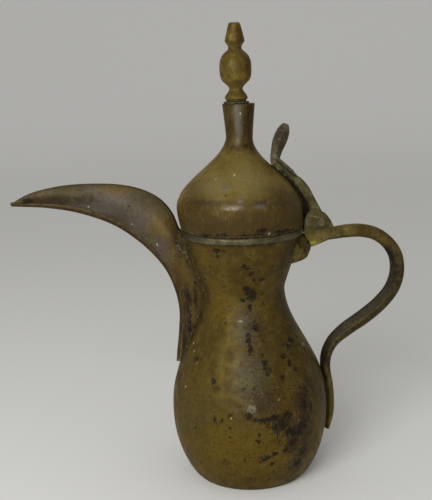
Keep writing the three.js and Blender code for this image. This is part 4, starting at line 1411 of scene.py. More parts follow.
@dataclass
class Beak(SubAssembly):
    """The long open beak: two hammered walls on a folded keel, soldered to the pot."""

    pot: PotShape = field(default_factory=PotShape)
    reach: float = 164.4
    crest_rise: float = 33.6
    root_height: float = 84.0
    sheet: float = 1.3
    half_width: float = 10.0
    keel_half_width: float = 2.7
    keel_depth: float = 4.3
    keel_standoff: float = 20.0
    free_share: float = 0.66
    stations: int = 96
    fit: float = 0.35
    seam_top: float = 176.2
    seam_radii: Row = (0.7, 1.5)
    fillet_radii: Row = (0.2, 0.62)

    def __post_init__(self) -> None:
        """Draws the keel's line and the upper edge's line."""
        run = [(1, 0.598), (0.79, 0.539), (0.6, 0.402), (0.41, 0.131), (0.282, -0.196)]
        run += [(0.188, -0.53), (0.118, -0.875)]
        drop = [(0.559, 1.02), (0.407, 0.79), (0.224, 0.5), (0.081, 0.27), (0, 0.145)]
        keel = [self._out(*shares) for shares in run]
        self.keel_line = SmoothLine(keel + [self._beside(*shares) for shares in drop])
        crest = [(1, 0.63), (0.955, 0.735), (0.88, 0.854), (0.7, 0.982), (0.5, 1)]
        crest += [(0.336, 0.946), (0.212, 0.81), (0.125, 0.607), (0.064, 0.315), (0.027, -0.042)]
        self.upper_line = SmoothLine([self._out(*shares) for shares in crest])
        self.middle_widths = [
            (0, 0.16), (0.12, 0.42), (0.25, 0.68), (0.45, 0.86),
            (0.62, 1.0), (0.74, 0.8), (0.87, 0.53), (1, 0.3),
        ]
        self.upper_widths = [
            (0, 0.15), (0.1, 0.27), (0.25, 0.35), (0.5, 0.37), (0.66, 0.44), (1, 0.3),
        ]

    def _out(self, out_share: float, rise_share: float) -> Row:
        """Returns a point by its shares of the reach and of the crest's rise."""
        x = mix(self.pot.wall_x(-1, self.pot.mouth_height), -self.reach, out_share)
        return (x, self.pot.mouth_height + self.crest_rise * rise_share)

    def _beside(self, up_share: float, stand_share: float) -> Row:
        """Returns a point by its shares of the height and of the keel's stand-off."""
        height = mix(self.root_height, self.pot.mouth_height, up_share)
        return (self.pot.wall_x(-1, height) - self.keel_standoff * stand_share, height)

    def station(self, t: float) -> tuple[Vector, Vector, float]:
        """Reads the beak at a share of the keel's length.

        Args:
            t: The share, from the tip to the keel's lower end.

        Returns:
            The keel's point, the direction up from it, and the depth of the wall there.
        """
        keel = self.keel_line.at(t)
        upper = self.upper_line.at(clamp(t / self.free_share))
        below = clamp((t - self.free_share) / (1 - self.free_share))
        if below > 0:
            height = mix(upper.y, self.root_height, below)
            upper = Vector((self.pot.wall_x(-1, height) + 3 * self.sheet, height))
        up = upper - keel
        return keel, up.normalized(), max(up.length, 2 * self.sheet)

    def width(self, t: float, s: float) -> float:
        """Finds the wall's half width.

        Args:
            t: The share of the keel's length.
            s: The share of the wall's depth.

        Returns:
            The half width.
        """
        middle = self.half_width * along(self.middle_widths, t)
        high = self.half_width * along(self.upper_widths, t)
        low = min(self.keel_half_width, middle) * 0.7
        return mix(low, high, s) + (middle - (low + high) / 2) * math.sin(math.pi * s)

    def _wall_ring(self, t: float, side: Side) -> Ring:
        """Draws one wall's section, with a rounded upper edge.

        Args:
            t: The share of the keel's length.
            side: Which wall it is.

        Returns:
            The section.
        """
        keel, up, depth = self.station(t)
        start = min(self.keel_depth * 0.72, depth * 0.3)
        outer = []
        for s in evenly(0, 1, 10):
            at = mix(start, depth, s)
            lump = 0.22 * unevenness(t * KEEL_RUN, at, side.value * 5, 13)
            outer.append((at, self.width(t, s) + lump * smooth(s * 5) * smooth(t * 8)))
        inner = [(at, max(w - self.sheet, 0.3)) for at, w in outer]
        top, width = outer[-1]
        edge = [(top + 0.25, width - 0.3), (top + 0.25, width - self.sheet + 0.3)]
        ring = outer + edge + inner[::-1]
        return [(keel.x + up.x * at, side.value * w, keel.y + up.y * at) for at, w in ring]

    def _keel_size(self, t: float, depth: float) -> Row:
        """Returns the keel strip's taper and height where the wall has this depth."""
        taper = mix(0.42, 1, clamp(t * 4)) * mix(1, 0.7, smooth((t - 0.8) * 5))
        return taper, min(self.keel_depth * taper, depth * 0.45)

    def _keel_ring(self, t: float) -> Ring:
        """Draws the keel strip's section.

        Args:
            t: The share of the keel's length.

        Returns:
            The section.
        """
        keel, up, depth = self.station(t)
        taper, high = self._keel_size(t, depth)
        width = self.keel_half_width * taper * (1 + 0.05 * unevenness(t * KEEL_RUN, 0, 3, 6))
        side = [(0.0, 0.3), (0.06, 0.6), (0.25, 0.82), (0.6, 0.97), (1.0, 1.0)]
        ring = [(at, -out) for at, out in side] + [(at, out) for at, out in side[::-1]]
        return [
            (keel.x + up.x * high * at, width * out, keel.y + up.y * high * at)
            for at, out in ring
        ]

    def _pot_tool(self) -> Piece:
        """Returns the pot as a solid, to trim what is soldered to it."""
        heights = evenly(0, self.pot.mouth_height - 0.2, 60)
        return Bench.turn("pot_tool", self.pot.rounds(heights, self.fit), TOOL_FACETS)

    def _bead_tool(self) -> Piece:
        """Returns the bead and the lid's lower wall as a solid, to clear the beak's root."""
        x = -self.pot.mouth_forward
        rows = [(x, 176.9, 43.8), (x, 182.7, 43.8), (x, 189.6, 46.6), (x, 246.0, 46.6)]
        return Bench.turn("bead_tool", rows, TOOL_FACETS)

    def build(self) -> None:
        """Builds the walls, the keel and the solder."""
        shares = evenly(0, 1, self.stations)
        finish = self._finish()
        for side in Side:
            where = side.name.lower()
            rings = [self._wall_ring(t, side) for t in shares]
            wall = Bench.loft("dressed_beak_wall_" + where, rings)
            Bench.carve(wall, self._pot_tool())
            Bench.carve(wall, self._bead_tool())
            Bench.tidy(wall, angle=40)
            self.shop.dress(wall, Body.POT, Slot.GREY, finish, "beak_wall_" + where)
            seam = Bench.loft("root_solder_" + where, self._seam_rings(side))
            self.shop.dress(seam, Body.POT, Slot.GREY, SOLDER_FINISH)
            bead = Bench.loft("keel_solder_" + where, self._fillet_rings(side))
            self.shop.dress(bead, Body.POT, Slot.COPPERY, KEEL_FINISH)
        keel = Bench.loft("folded_keel", [self._keel_ring(t) for t in shares])
        Bench.carve(keel, self._pot_tool())
        Bench.tidy(keel, angle=50)
        self.shop.dress(keel, Body.POT, Slot.COPPERY, KEEL_FINISH, "beak_keel")

    def _finish(self) -> BrassFinish:
        """Returns the walls' finish, with painted shade inside along the upper edge."""
        # Painted shade on the inner faces below the upper edge.
        places = [self.upper_line.at(t) for t in evenly(0.5, 0.97, 14)]
        channel_shade = tuple((at.x, 2.4, at.y - 1.2, 2.6, 2.6) for at in places)
        marks = BEAK_FINISH.marks + ((Mark.SOOT, channel_shade),)
        return replace(BEAK_FINISH, name="Beak Mauve Grey Inner Shade", marks=marks)

    def _tube(self, path: Sequence[Vector], radii: Sequence[float], count: int) -> list[Ring]:
        """Wraps rings of uneven radius along a path.

        Args:
            path: The path's points.
            radii: The radius at each point.
            count: Points in each ring.

        Returns:
            The rings.
        """
        rings = []
        for i, (point, radius) in enumerate(zip(path, radii)):
            ahead = (path[min(i + 1, len(path) - 1)] - path[max(i - 1, 0)]).normalized()
            across = ahead.cross(Vector((0, 1, 0))).normalized()
            other = ahead.cross(across)
            ring = []
            for k in range(count):
                angle = 2 * math.pi * k / count
                out = across * math.cos(angle) + other * math.sin(angle)
                lump = 1 + 0.3 * unevenness(*(point + out * 2), 1.7)
                ring.append(tuple(point + out * radius * lump))
            rings.append(ring)
        return rings

    def _seam_rings(self, side: Side) -> list[Ring]:
        """Draws the lumpy solder along the joint of a wall and the pot.

        Args:
            side: Which wall it is.

        Returns:
            The solder's sections.
        """
        path, radii = [], []
        for t in evenly(0, 1, 120):
            height = mix(self.seam_top, self.root_height + 1, t)
            lift = clamp((height - self.root_height) / (176 - self.root_height))
            half = mix(2.6, 5.6, smooth(lift * 2)) + 4.6 * smooth((lift - 0.45) * 1.9)
            x, y, z = self.pot.flank(half, height, side.value)
            path.append(Vector((x - 0.1, y, z)))
            lump = clamp(0.5 + 0.5 * unevenness(x, y, z, 4.0))
            ends = smooth(t * 12) * smooth((1 - t) * 9)
            radii.append(mix(*self.seam_radii, lump) * mix(0.5, 1, ends))
        return self._tube(path, radii, 10)

    def _fillet_rings(self, side: Side) -> list[Ring]:
        """Draws the thin line of solder between a wall and the keel.

        Args:
            side: Which wall it is.

        Returns:
            The solder's sections.
        """
        path, radii = [], []
        for t in evenly(0.05, 0.93, 150):
            keel, up, depth = self.station(t)
            taper, full = self._keel_size(t, depth)
            half, high = self.keel_half_width * taper - 0.1, full * 0.9
            path.append(Vector((keel.x + up.x * high, side.value * half, keel.y + up.y * high)))
            lump = clamp(0.5 + 0.5 * unevenness(t * KEEL_RUN, side.value * 3, 7, 2.5))
            radii.append(mix(*self.fillet_radii, lump))
        return self._tube(path, radii, 8)


@dataclass
class Lid(SubAssembly):
    """The dome lid with its throat, its neck and the collar that drops into the mouth."""

    shape: LidShape = field(default_factory=LidShape)
    facets: int = 128
    sheet: float = 1.3
    rows: int = 96
    collar_radius: float = 38.7
    collar_depth: float = 3.2
    crease_rise: float = 22.2
    crease_depth: float = 0.22
    hammer_depth: float = 0.22
    hammer_size: float = 17.0
    dents: tuple[Dent, ...] = (
        ((10, -41, 205), (0, 0.8, 0), 7),
        ((2, -42, 204), (0, 0.6, 0), 5),
        ((-10, -42, 203), (0, 0.5, 0), 6),
        ((-14, -33, 215), (0, -0.4, 0.3), 4),
        ((25, -33, 208), (-0.2, 0.4, 0), 8),
    )

    def build(self) -> None:
        """Builds the lid and dresses it."""
        lid = Bench.turn("dome_lid", self._rows(), self.facets)
        Bench.dent(lid, self.dents)
        Bench.hammer(lid, self.hammer_depth, self.hammer_size)
        Bench.tidy(lid)
        self.shop.dress(lid, Body.LID, Slot.AGED, LID_FINISH, "lid_shell", "lid_collar")

    def _rows(self) -> list[Round]:
        """Returns the rings, from the neck's top down to the rim and up inside."""
        s = self.shape
        top, centre = s.foot + s.top_rise, s.shift(s.top_rise)
        rows = [(centre, top - 0.1, r) for r in (2, s.lip_radius - 0.9)]
        rows.append((centre, top - 0.05, s.lip_radius - 0.35))
        for rise in evenly(s.top_rise - 0.4, 0.3, self.rows):
            crease = self.crease_depth * math.exp(-(((rise - self.crease_rise) / 1.3) ** 2))
            rows.append((s.shift(rise), s.foot + rise, s.radius(rise) - crease))
        inner, collar, deep = s.rim_radius - self.sheet, self.collar_radius, self.collar_depth
        flange = [(s.rim_radius - 0.3, 0.0), (inner, 0.0), (collar, 0.1), (collar, -deep)]
        flange += [(collar - self.sheet, -deep), (collar - self.sheet, self.sheet)]
        flange.append((inner - 1.6, 4.0))
        rows += [(s.shift(0), s.foot + z, r) for r, z in flange]
        inside = evenly(4.4, s.top_rise - 3, 40)
        rows += [(s.shift(rise), s.foot + rise, s.radius(rise) - self.sheet) for rise in inside]
        rows.append((centre, top - 2.6, 2))
        return rows


@dataclass
class Finial(SubAssembly):
    """The turned finial on its dark cap, with its ball and its flared tip."""

    foot: float = 270.4
    x: float = -3.5
    facets: int = 72
    cap_radius: float = 8.9
    cap_foot: float = 269.0

    def build(self) -> None:
        """Builds the finial and the cap."""
        rows = [(self.x, self.foot + z, r) for r, z in self._outline()]
        finial = Bench.turn("turned_finial", rows, self.facets)
        self.shop.dress(finial, Body.LID, Slot.BRIGHT, FINIAL_FINISH, "finial")
        rows = [(2, -0.15), (self.cap_radius - 0.4, -0.15), (self.cap_radius, 0.2)]
        rows += [(self.cap_radius, 0.7), (self.cap_radius - 0.5, 1.1), (6.9, 1.35), (2, 1.35)]
        rows = [(self.x, self.cap_foot + z, r) for r, z in rows]
        cap = Bench.turn("neck_cap_disc", rows, self.facets)
        self.shop.dress(cap, Body.LID, Slot.DARK, CAP_FINISH, "neck_cap")

    def _outline(self) -> list[Row]:
        """Returns the finial's outline, as radius and rise, smoothed through its points."""
        table = [
            (6.7, 0.0), (6.9, 0.5), (7.0, 0.9), (7.75, 1.35), (7.95, 2.15), (7.75, 3.0),
            (7.2, 4.0), (6.5, 5.0), (5.5, 6.3), (4.8, 7.5), (4.7, 8.5), (5.5, 10.0),
            (7.2, 11.7), (9.3, 13.8), (10.3, 15.8), (10.8, 18.2), (10.95, 21.2), (10.9, 24.4),
            (10.55, 27.0), (9.7, 29.3), (8.2, 31.6), (6.3, 33.4), (5.0, 34.5), (4.55, 35.6),
            (4.85, 36.9), (5.8, 38.5), (6.6, 39.8), (6.85, 40.5), (6.6, 41.0), (6.55, 41.6),
            (5.95, 43.9), (5.3, 46.8), (4.5, 49.8), (3.95, 51.5), (3.4, 52.2), (1.4, 52.4),
        ]
        line = SmoothLine(table)
        steps = [line.at(t) for t in evenly(0, 1, 130)]
        return [(2.0, 0.0)] + [(max(p.x, 0.6), p.y) for p in steps] + [(0.6, 52.4)]


@dataclass
class Bar:
    """A bar of eight rounded sides, swept along a line of the XZ plane."""

    line: SmoothLine
    thickness: Measure
    half_width: Measure
    chamfer: float
    steps: int = 60
    end: float = 1.0
    inner: Measure | None = None
    outer: Measure | None = None

    def _cut(self, deeper: Measure | None, t: float, half: Row) -> Row:
        """Finds a chamfer's depths.

        Args:
            deeper: The chamfer's own depth at a share of the length, if it has one.
            t: The share of the length.
            half: Half of the bar's thickness and width there.

        Returns:
            The depth along the thickness and along the width.
        """
        if deeper is None:
            plain = min(self.chamfer, min(half) * 0.6)
            return (plain, plain)
        depth = deeper(t)
        return (min(depth, half[0] * 1.1), min(depth, half[1] * 0.72))

    @staticmethod
    def _corner(half: Row, cut: Row, side: int) -> list[Row]:
        """Finds a flat chamfer with two eased edges.

        Args:
            half: Half of the bar's thickness and width.
            cut: The chamfer's depth along each of them.
            side: 1 for the bar's outer side and -1 for its inner side.

        Returns:
            Offsets from the bar's middle, from the outer face to the flank.
        """
        (h, w), (deep, wide) = half, cut
        long = math.hypot(deep, wide)
        ease = min(0.35, long * 0.2)
        dx, dy = ease * deep / long, ease * wide / long
        flat = [(h, w - wide - ease), (h - dx, w - wide + dy)]
        flat += [(h - deep + dx, w - dy), (h - deep - ease, w)]
        return [(side * out, y) for out, y in flat]

    def rings(self) -> list[Ring]:
        """Returns the bar's sections."""
        rings = []
        for t in evenly(0, self.end, self.steps):
            point, ahead = self.line.at(t), self.line.heading(t)
            half = (self.thickness(t) / 2, self.half_width(t))
            outer, inner = self._cut(self.outer, t, half), self._cut(self.inner, t, half)
            side = self._corner(half, outer, 1) + self._corner(half, inner, -1)[::-1]
            ring = side + [(out, -y) for out, y in side[::-1]]
            rings.append(
                [(point.x - ahead.y * out, y, point.y + ahead.x * out) for out, y in ring]
            )
        return rings


@dataclass
class Hinge(SubAssembly):
    """The strap riveted to the lid, which ends in the knuckle on the pin."""

    lid: LidShape = field(default_factory=LidShape)
    pin: Row = (53.5, 184.5)
    seat: float = 0.6
    root_thickness: float = 6.9
    top_thickness: float = 4.4
    knuckle_radius: float = 4.3
    knuckle_half_width: float = 2.7
    half_width: float = 4.6
    web_gap: float = -0.3
    web_half_width: float = 2.5

    def line(self) -> SmoothLine:
        """Returns the strap's middle line, from the pin up the lid's shoulder."""
        x, z = self.pin
        lx, lz = self.lid.off(0.18, 2 * self.seat + self.root_thickness / 2)
        points = [(x, z)]
        points += [(mix(x, lx, s), mix(z, lz, s)) for s in (0.4, 0.75)]
        points += [(lx, lz), self.lid.off(0.28, self.seat + self.root_thickness / 2)]
        middle = self.seat + self.top_thickness / 2
        points += [self.lid.off(s, middle) for s in (0.36, 0.48, 0.6)]
        return SmoothLine(points)

    def thickness(self, t: float) -> float:
        """Finds the strap's thickness.

        Args:
            t: The share of its length, from the pin.

        Returns:
            The thickness.
        """
        root, top = self.root_thickness, self.top_thickness
        table = [(0, 2 * self.knuckle_radius), (0.3, root * 1.1), (0.45, root)]
        return along(table + [(0.6, root), (0.68, top), (1, top)], t)

    def _half_width(self, t: float) -> float:
        """Returns the strap's half width at a share of its length."""
        return mix(self.knuckle_half_width, self.half_width, smooth((t - 0.25) / 0.14))

    @staticmethod
    def _facet(t: float) -> float:
        """Returns the depth of the strap's outer chamfers at a share of its length."""
        return mix(0.9, 0.2, smooth((t - 0.5) / 0.12))

    def build(self) -> None:
        """Builds the strap and dresses it."""
        line = self.line()
        bar = Bar(line, self.thickness, self._half_width, 0.9, end=0.985, outer=self._facet)
        strap = Bench.loft("hinge_strap", bar.rings())
        x, z = self.pin
        Bench.clear()
        bpy.ops.mesh.primitive_cylinder_add(
            vertices=48,
            radius=self.knuckle_radius * MM,
            depth=2 * self.knuckle_half_width * MM,
            location=(x * MM, 0, z * MM),
            rotation=(math.pi / 2, 0, 0),
        )
        Bench.carve(strap, Bench.settle(), Cut.ADDED)
        Bench.crisp(strap)
        self.shop.dress(strap, Body.LID, Slot.GREY, STRAP_FINISH, "lid_strap")
        self.shop.dress(self._web(), Body.LID, Slot.DARK, WEB_SHADE_FINISH)

    def _web(self) -> Piece:
        """Returns the strap's deep inner side, close along the lid's wall and painted near black
        as shade.
        """
        lid, line = self.lid, self.line()
        rises = evenly(4.5, 42.5, 24)
        near = [(lid.edge_x(rise) + self.web_gap, lid.foot + rise) for rise in rises]
        back = [tuple(line.at(t)) for t in evenly(0.95, 0.12, 18)]
        return Bench.plate("strap_web", near + back, self._web_width)

    def _web_width(self, x: float) -> float:
        """Returns the web's half width at an X: wider where it stands clear of the fork."""
        return mix(self.web_half_width, self.half_width - 0.9, smooth((40 - x) / 4))


@dataclass
class ThumbLever(SubAssembly):
    """The lever that the thumb presses: a foot along the strap and an eight-sided tongue."""

    lid: LidShape = field(default_factory=LidShape)
    length: float = 25.4
    lean: float = 18.9
    half_width: float = 4.6
    grip: float = 9.9
    foot_seat: float = 5.02
    foot_thickness: float = 2.4
    end_share: float = 0.595
    chamfer: float = 0.29
    inner_facet: float = 0.44
    outer_facet: float = 0.36
    grain: float = 0.26

    def _grip(self, t: float) -> float:
        """Returns the tongue's thickness at a share of its length."""
        table = [(0, 0.64), (0.25, 0.81), (0.46, 0.97), (0.63, 1), (0.77, 0.91), (0.9, 0.7)]
        return self.grip * along(table + [(0.97, 0.48), (1, 0.3)], t)

    def _half_width(self, t: float) -> float:
        """Returns the tongue's half width at a share of its length."""
        return self.half_width * min(mix(0.8, 1, t * 2), 1, (1.2 - t) * 2.8)

    def _foot_thickness(self, t: float) -> float:
        """Returns the foot's thickness at a share of its length."""
        return self.foot_thickness * mix(0.5, 1, clamp(t * 3))

    def _foot_half_width(self, t: float) -> float:
        """Returns the foot's half width at a share of its length."""
        return self.half_width * mix(0.86, 1, clamp(t * 6))

    def build(self) -> None:
        """Builds the lever and dresses it."""
        hx, hz = self.lid.off(self.end_share, self.foot_seat)
        run = self.length * math.sin(math.radians(self.lean))
        rise = self.length * math.cos(math.radians(self.lean))
        tongue = Bar(
            SmoothLine([(hx, hz), (hx + 0.24 * run, hz + 0.33 * rise), (hx + run, hz + rise)]),
            self._grip,
            self._half_width,
            self.grip * self.chamfer,
            inner=lambda t: self._grip(t) * self.inner_facet,
            outer=lambda t: self._grip(t) * self.outer_facet,
        )
        lever = Bench.loft("thumb_tongue", tongue.rings())
        middle = self.foot_seat + self.foot_thickness / 2
        foot = Bar(
            SmoothLine([self.lid.off(s, middle) for s in (0.32, 0.41, 0.5, 0.61)]),
            self._foot_thickness,
            self._foot_half_width,
            0.6,
            steps=24,
            inner=lambda t: 0.2,
        )
        plate = Bench.loft("lever_foot", foot.rings())
        lever = Bench.fuse([lever, plate, self._knee()], self.grain)
        self.shop.dress(lever, Body.LID, Slot.GREY, LEVER_FINISH, "thumb_lever")

    def _knee(self) -> Piece:
        """Returns the rounded block between the tongue's foot and the strap's end."""
        hx, hz = self.lid.off(self.end_share, self.foot_seat)
        outline = [(hx - 3.0, hz + 0.9), (hx - 3.0, hz + 3.0), (hx + 2.6, hz + 3.4)]
        outline += [(hx + 3.0, hz - 0.4), self.lid.off(0.555, 4.9), self.lid.off(0.555, 1.0)]
        outline += [self.lid.off(0.598, 1.0), (hx - 3.1, hz - 1.6)]
        return Bench.plate("knee", outline, self.half_width * 0.84)


@dataclass
class Handle(SubAssembly):
    """The cast bar handle: its fork at the hinge, its loop and its tail on the belly."""

    pot: PotShape = field(default_factory=PotShape)
    pin: Row = (53.5, 184.5)
    reach: float = 113.2
    bar_depth: float = 10.0
    bar_half_width: float = 4.8
    tail_top: float = 76.0
    tail_end: float = 28.5
    tail_half_width: float = 5.4
    tail_thickness: float = 5.4
    cheek_half_span: float = 6.4
    slot_half_width: float = 3.1
    fit: float = 0.3

    def _out(self, out_share: float, up_share: float) -> Row:
        """Returns a point by its shares of the way out to the bend and up to the pin."""
        x = mix(self.pin[0], self.reach - self.bar_depth / 2, out_share)
        return (x, mix(self.tail_top, self.pin[1], up_share))

    def tail_depth(self, share: float) -> float:
        """Returns the tail's thickness at a share of its length."""
        table = [(0, 1.3), (0.2, 1.04), (0.8, 0.95), (1, 0.72)]
        return self.tail_thickness * along(table, share)

    def _tail(self, share: float) -> Row:
        """Returns a point of the tail's middle line."""
        height = mix(self.tail_top, self.tail_end, share)
        return (self.pot.wall_x(1, height) + self.fit + self.tail_depth(share) / 2, height)

    def line(self) -> SmoothLine:
        """Returns the handle's middle line, from the fork to the tail's end."""
        loop = [
            (0.06, 0.909), (0.327, 0.927), (0.539, 0.927), (0.726, 0.9), (0.879, 0.839),
            (0.978, 0.756), (1, 0.645), (0.941, 0.538), (0.795, 0.439), (0.567, 0.341),
            (0.329, 0.258), (0.155, 0.179), (0.068, 0.092),
        ]
        points = [self._out(*shares) for shares in loop]
        return SmoothLine(points + [self._tail(s) for s in evenly(0, 1, 4)])

    def build(self) -> None:
        """Builds the handle and dresses it."""
        line = self.line()
        tail = next(t for t in evenly(0.5, 1, 200) if line.at(t).y <= self.tail_top)
        depths = [
            (0, 0.78), (0.1, 0.88), (0.22, 0.88), (0.36, 0.96), (0.5, 1.02), (0.7, 1.06),
            (0.8, 1), (0.88, 0.84), (1, 0.7),
        ]

        def thickness(t: float) -> float:
            """Finds the bar's thickness.

            Args:
                t: The share of the whole length, from the fork.

            Returns:
                The thickness.
            """
            if t < tail:
                return self.bar_depth * along(depths, t / tail)
            return self.tail_depth((t - tail) / (1 - tail))

        def half_width(t: float) -> float:
            """Returns the bar's half width at a share of the whole length."""
            spread = smooth((t - tail) / (1 - tail))
            return mix(self.bar_half_width, self.tail_half_width, spread)

        def inner_cut(t: float) -> float:
            """Returns the depth of the inner facets at a share of the whole length."""
            return 2.3 + 3.3 * smooth((t - 0.22) / 0.15) * smooth((tail - t) / 0.06)

        bar = Bar(line, thickness, half_width, 2.3, 160, inner=inner_cut)
        rail = Bench.loft("bar_handle", bar.rings())
        fork = Bench.plate("fork", self._cheek_outline(), self._fork_half_width)
        Bench.carve(fork, self._slot_tool())
        Bench.modify(fork, "BEVEL", width=0.5 * MM, segments=2, limit_method="ANGLE")
        Bench.carve(rail, fork, Cut.ADDED)
        handle = Bench.crisp(rail)
        # The lower run is laid darker all along, and its inner facets get a band of painted
        # shade.
        shade_band = tuple(self._beside_line(line, t, -4.9, 6.9) for t in evenly(0.26, 0.8, 20))
        run = tuple(self._beside_line(line, t, 1.0, 10.0) for t in evenly(0.34, 0.74, 10))
        marks = HANDLE_FINISH.marks + ((Mark.RUBBED, run), (Mark.SHADOW, shade_band))
        rubbed = replace(HANDLE_FINISH, name="Handle Painted Shade", marks=marks)
        self.shop.dress(handle, Body.POT, Slot.AGED, rubbed, "handle")

    def _fork_half_width(self, x: float) -> float:
        """Returns the fork's half width at an X: it narrows to the bar's."""
        share = smooth((x - (self.pin[0] + 3.5)) / 9)
        return mix(self.cheek_half_span, self.bar_half_width, share)

    @staticmethod
    def _beside_line(line: SmoothLine, t: float, out: float, size: float) -> Spot:
        """Returns a round spot that lies this far out of the bar's middle line."""
        point, ahead = line.at(t), line.heading(t)
        return (point.x - ahead.y * out, 0.0, point.y + ahead.x * out, size, size)

    def _cheek_outline(self) -> list[Row]:
        """Returns the fork's outline, from the heel over the pin and back."""
        x, z = self.pin
        rows = [
            (-7.3, -17.4), (0, -14.9), (6.6, -12.2), (13.3, -10.8), (13.3, -6.3),
            (10.4, -6.6), (9.2, -4), (7.8, -0.9), (6.9, 1.2), (5.5, 3.35), (3.9, 4.9),
            (1.9, 6), (-0.6, 7.5), (-3, 8.8), (-4.8, 9.3), (-6.5, 9.3), (-8.1, 8.2),
            (-10.1, 6.1), (-11.3, 3), (-11.9, 0), (-12.1, -7.7), (-9.8, -12.6),
        ]
        return [(x + dx, z + dz) for dx, dz in rows]

    def _slot_tool(self) -> Piece:
        """Returns the block that opens the fork for the knuckle."""
        x, z = self.pin
        floor = z - 4.7
        outline = [(x - 20, floor), (x + 8.6, floor), (x + 8.6, z + 20), (x - 20, z + 20)]
        return Bench.plate("slot_tool", outline, self.slot_half_width)


@dataclass
class Saddle(SubAssembly):
    """The tapered lug on the neck, to which the fork's heel is brazed."""

    pot: PotShape = field(default_factory=PotShape)
    inside: float = 27.6
    end: float = 45.9
    low: float = 154.8
    high: float = 178.0
    half_width: float = 13.4
    end_half_width: float = 8.0
    half_height: float = 11.0
    fit: float = 0.4
    grain: float = 0.4

    def build(self) -> None:
        """Builds the lug and dresses it."""
        outline = [(self.inside, self.low), (36.0, self.low), (39.3, 156.2), (43.4, 159.9)]
        outline += [(self.end, 167.1), (45.0, 172.4), (43.0, self.high), (self.inside, self.high)]
        lug = Bench.plate("saddle_lug", outline, self.half_width)
        length = self.end - self.inside
        Bench.clear()
        bpy.ops.mesh.primitive_cone_add(
            vertices=72,
            radius1=self.half_width * MM,
            radius2=self.end_half_width * MM,
            depth=length * MM,
            location=((self.inside + length / 2) * MM, 0, (self.low + self.high) / 2 * MM),
            rotation=(0, math.pi / 2, 0),
            scale=(1.25 * self.half_height / self.half_width, 1, 1),
        )
        Bench.carve(lug, Bench.settle(), Cut.SHARED)
        neck = self.pot.rounds(evenly(150, 181, 24), self.fit)
        Bench.carve(lug, Bench.turn("neck_tool", neck, TOOL_FACETS))
        lug = Bench.fuse([lug], self.grain)
        self.shop.dress(lug, Body.POT, Slot.BRIGHT, SADDLE_FINISH, "hinge_saddle")


@dataclass
class CarriedNodes(SubAssembly):
    """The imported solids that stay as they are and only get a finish."""

    names: tuple[str, ...] = (
        "hinge_pin", "strap_rivet_lower", "strap_rivet_upper",
        "tail_rivet_upper", "tail_rivet_lower", "tang_washer",
    )

    def build(self) -> None:
        """Gives each solid its finish."""
        for name in self.names:
            self.shop.coat(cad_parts[name], RIVET_FINISH)
            LOG.info("%s: carried over", name)


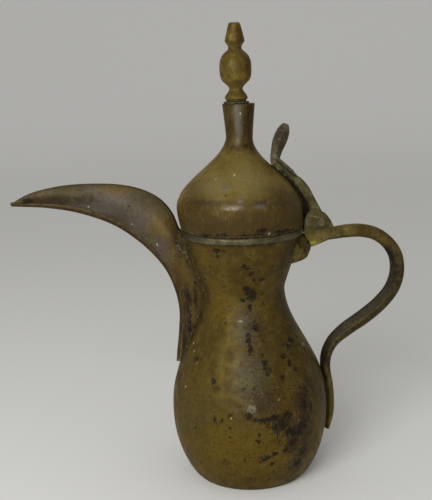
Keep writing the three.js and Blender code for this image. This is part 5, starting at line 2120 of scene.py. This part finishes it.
@dataclass
class Studio:
    """The pale floor, the soft lights and the camera."""

    camera_place: Point = (-0.02107, -0.600, 0.2971)
    camera_dip: float = 12.33
    camera_roll: float = 2.0
    lens: float = 61.92
    sheet_reach: float = 20.0
    curve_start: float = 3.0
    curve_radius: float = 1.2
    curve_steps: int = 24
    near_tint: Shade = (0.8, 0.8, 0.775, 1)
    far_tint: Shade = (0.95, 0.95, 0.935, 1)
    fade_start: float = 0.7
    sky_tint: Shade = (1.0, 0.99, 0.97, 1)
    sky_strength: float = 0.42
    aim: Point = (0, 0, 0.17)

    def build(self) -> None:
        """Builds the studio."""
        self._floor()
        self._light("key_softbox", (-0.45, -0.9, 0.66), 0.6, 8.0)
        self._light("front_softbox", (-0.1, -0.85, 0.4), 0.12, 0.7)
        self._world()
        self._camera()

    def _floor(self) -> None:
        """Adds the floor, a plain pale sheet that curves up far behind the pot."""
        Bench.clear()
        bpy.ops.mesh.primitive_plane_add(size=2 * self.sheet_reach)
        floor = bpy.context.object
        floor.name = "pale_floor"
        Bench.free_corners()
        for corner in floor.data.vertices:
            if corner.co.y > 0:
                corner.select = True
                corner.co.y = self.curve_start
        Bench.edit(True)
        turns = [t * math.pi / 2 for t in evenly(0, 1, self.curve_steps)]
        arc = [(math.sin(turn), 1 - math.cos(turn)) for turn in turns]
        for (y0, z0), (y, z) in zip(arc, arc[1:]):
            step = (0, (y - y0) * self.curve_radius, (z - z0) * self.curve_radius)
            bpy.ops.mesh.extrude_region_move(TRANSFORM_OT_translate={"value": step})
        Bench.edit(False)
        bpy.ops.object.shade_smooth()
        floor.data.materials.append(self._paint())

    def _paint(self) -> bpy.types.Material:
        """Returns the floor's paint, paler towards the back: painted light that evens out the key
        light's fall-off.
        """
        paint = bpy.data.materials.new("Pale Floor")
        paint.use_nodes = True
        shader = paint.node_tree.nodes["Principled BSDF"]
        shader.inputs["Roughness"].default_value = 0.9
        graph = Graph(paint.node_tree)
        place = graph.add("TexCoord").outputs["Object"]
        depth = graph.add("SeparateXYZ", {0: place}).outputs[1]
        fade = graph.between(depth, self.fade_start, self.curve_start)
        tint = graph.blend(fade, self.near_tint, self.far_tint)
        graph.feed(shader.inputs["Base Color"], tint)
        return paint

    def _light(self, name: str, place: Point, size: float, power: float) -> None:
        """Adds a soft light that faces the pot.

        Args:
            name: The light's name.
            place: Where it stands, in metres.
            size: The length of its sides.
            power: Its power in watts.
        """
        data = bpy.data.lights.new(name, "AREA")
        data.size = size
        data.energy = power
        light = bpy.data.objects.new(name, data)
        aim = Vector(self.aim) - Vector(place)
        light.location = place
        light.rotation_euler = aim.to_track_quat("-Z", "Y").to_euler()
        bpy.context.scene.collection.objects.link(light)

    def _world(self) -> None:
        """Gives the room an even pale light."""
        world = bpy.data.worlds.new("Pale Room")
        world.use_nodes = True
        sky = world.node_tree.nodes["Background"]
        sky.inputs["Color"].default_value = self.sky_tint
        sky.inputs["Strength"].default_value = self.sky_strength
        bpy.context.scene.world = world
        bpy.context.scene.view_settings.view_transform = "Standard"

    def _camera(self) -> None:
        """Adds the camera at the photograph's place."""
        data = bpy.data.cameras.new("camera")
        data.lens = self.lens
        data.sensor_width = 36
        camera = bpy.data.objects.new("camera", data)
        dip = Matrix.Rotation(math.radians(90 - self.camera_dip), 4, "X")
        roll = Matrix.Rotation(math.radians(-self.camera_roll), 4, "Z")
        camera.matrix_world = Matrix.Translation(self.camera_place) @ dip @ roll
        bpy.context.scene.collection.objects.link(camera)
        bpy.context.scene.camera = camera


def main() -> None:
    """Builds the pot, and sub-assembly by sub-assembly."""
    logging.basicConfig(level=logging.INFO)
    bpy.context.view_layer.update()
    shop = FinishShop()
    Studio().build()
    parts = (PotBody, MouthBead, Beak, Lid, Finial, Hinge, ThumbLever, Handle, Saddle)
    for part in (*parts, CarriedNodes):
        part(shop).build()
    Bench.clear()


if __name__ == "__main__":
    main()
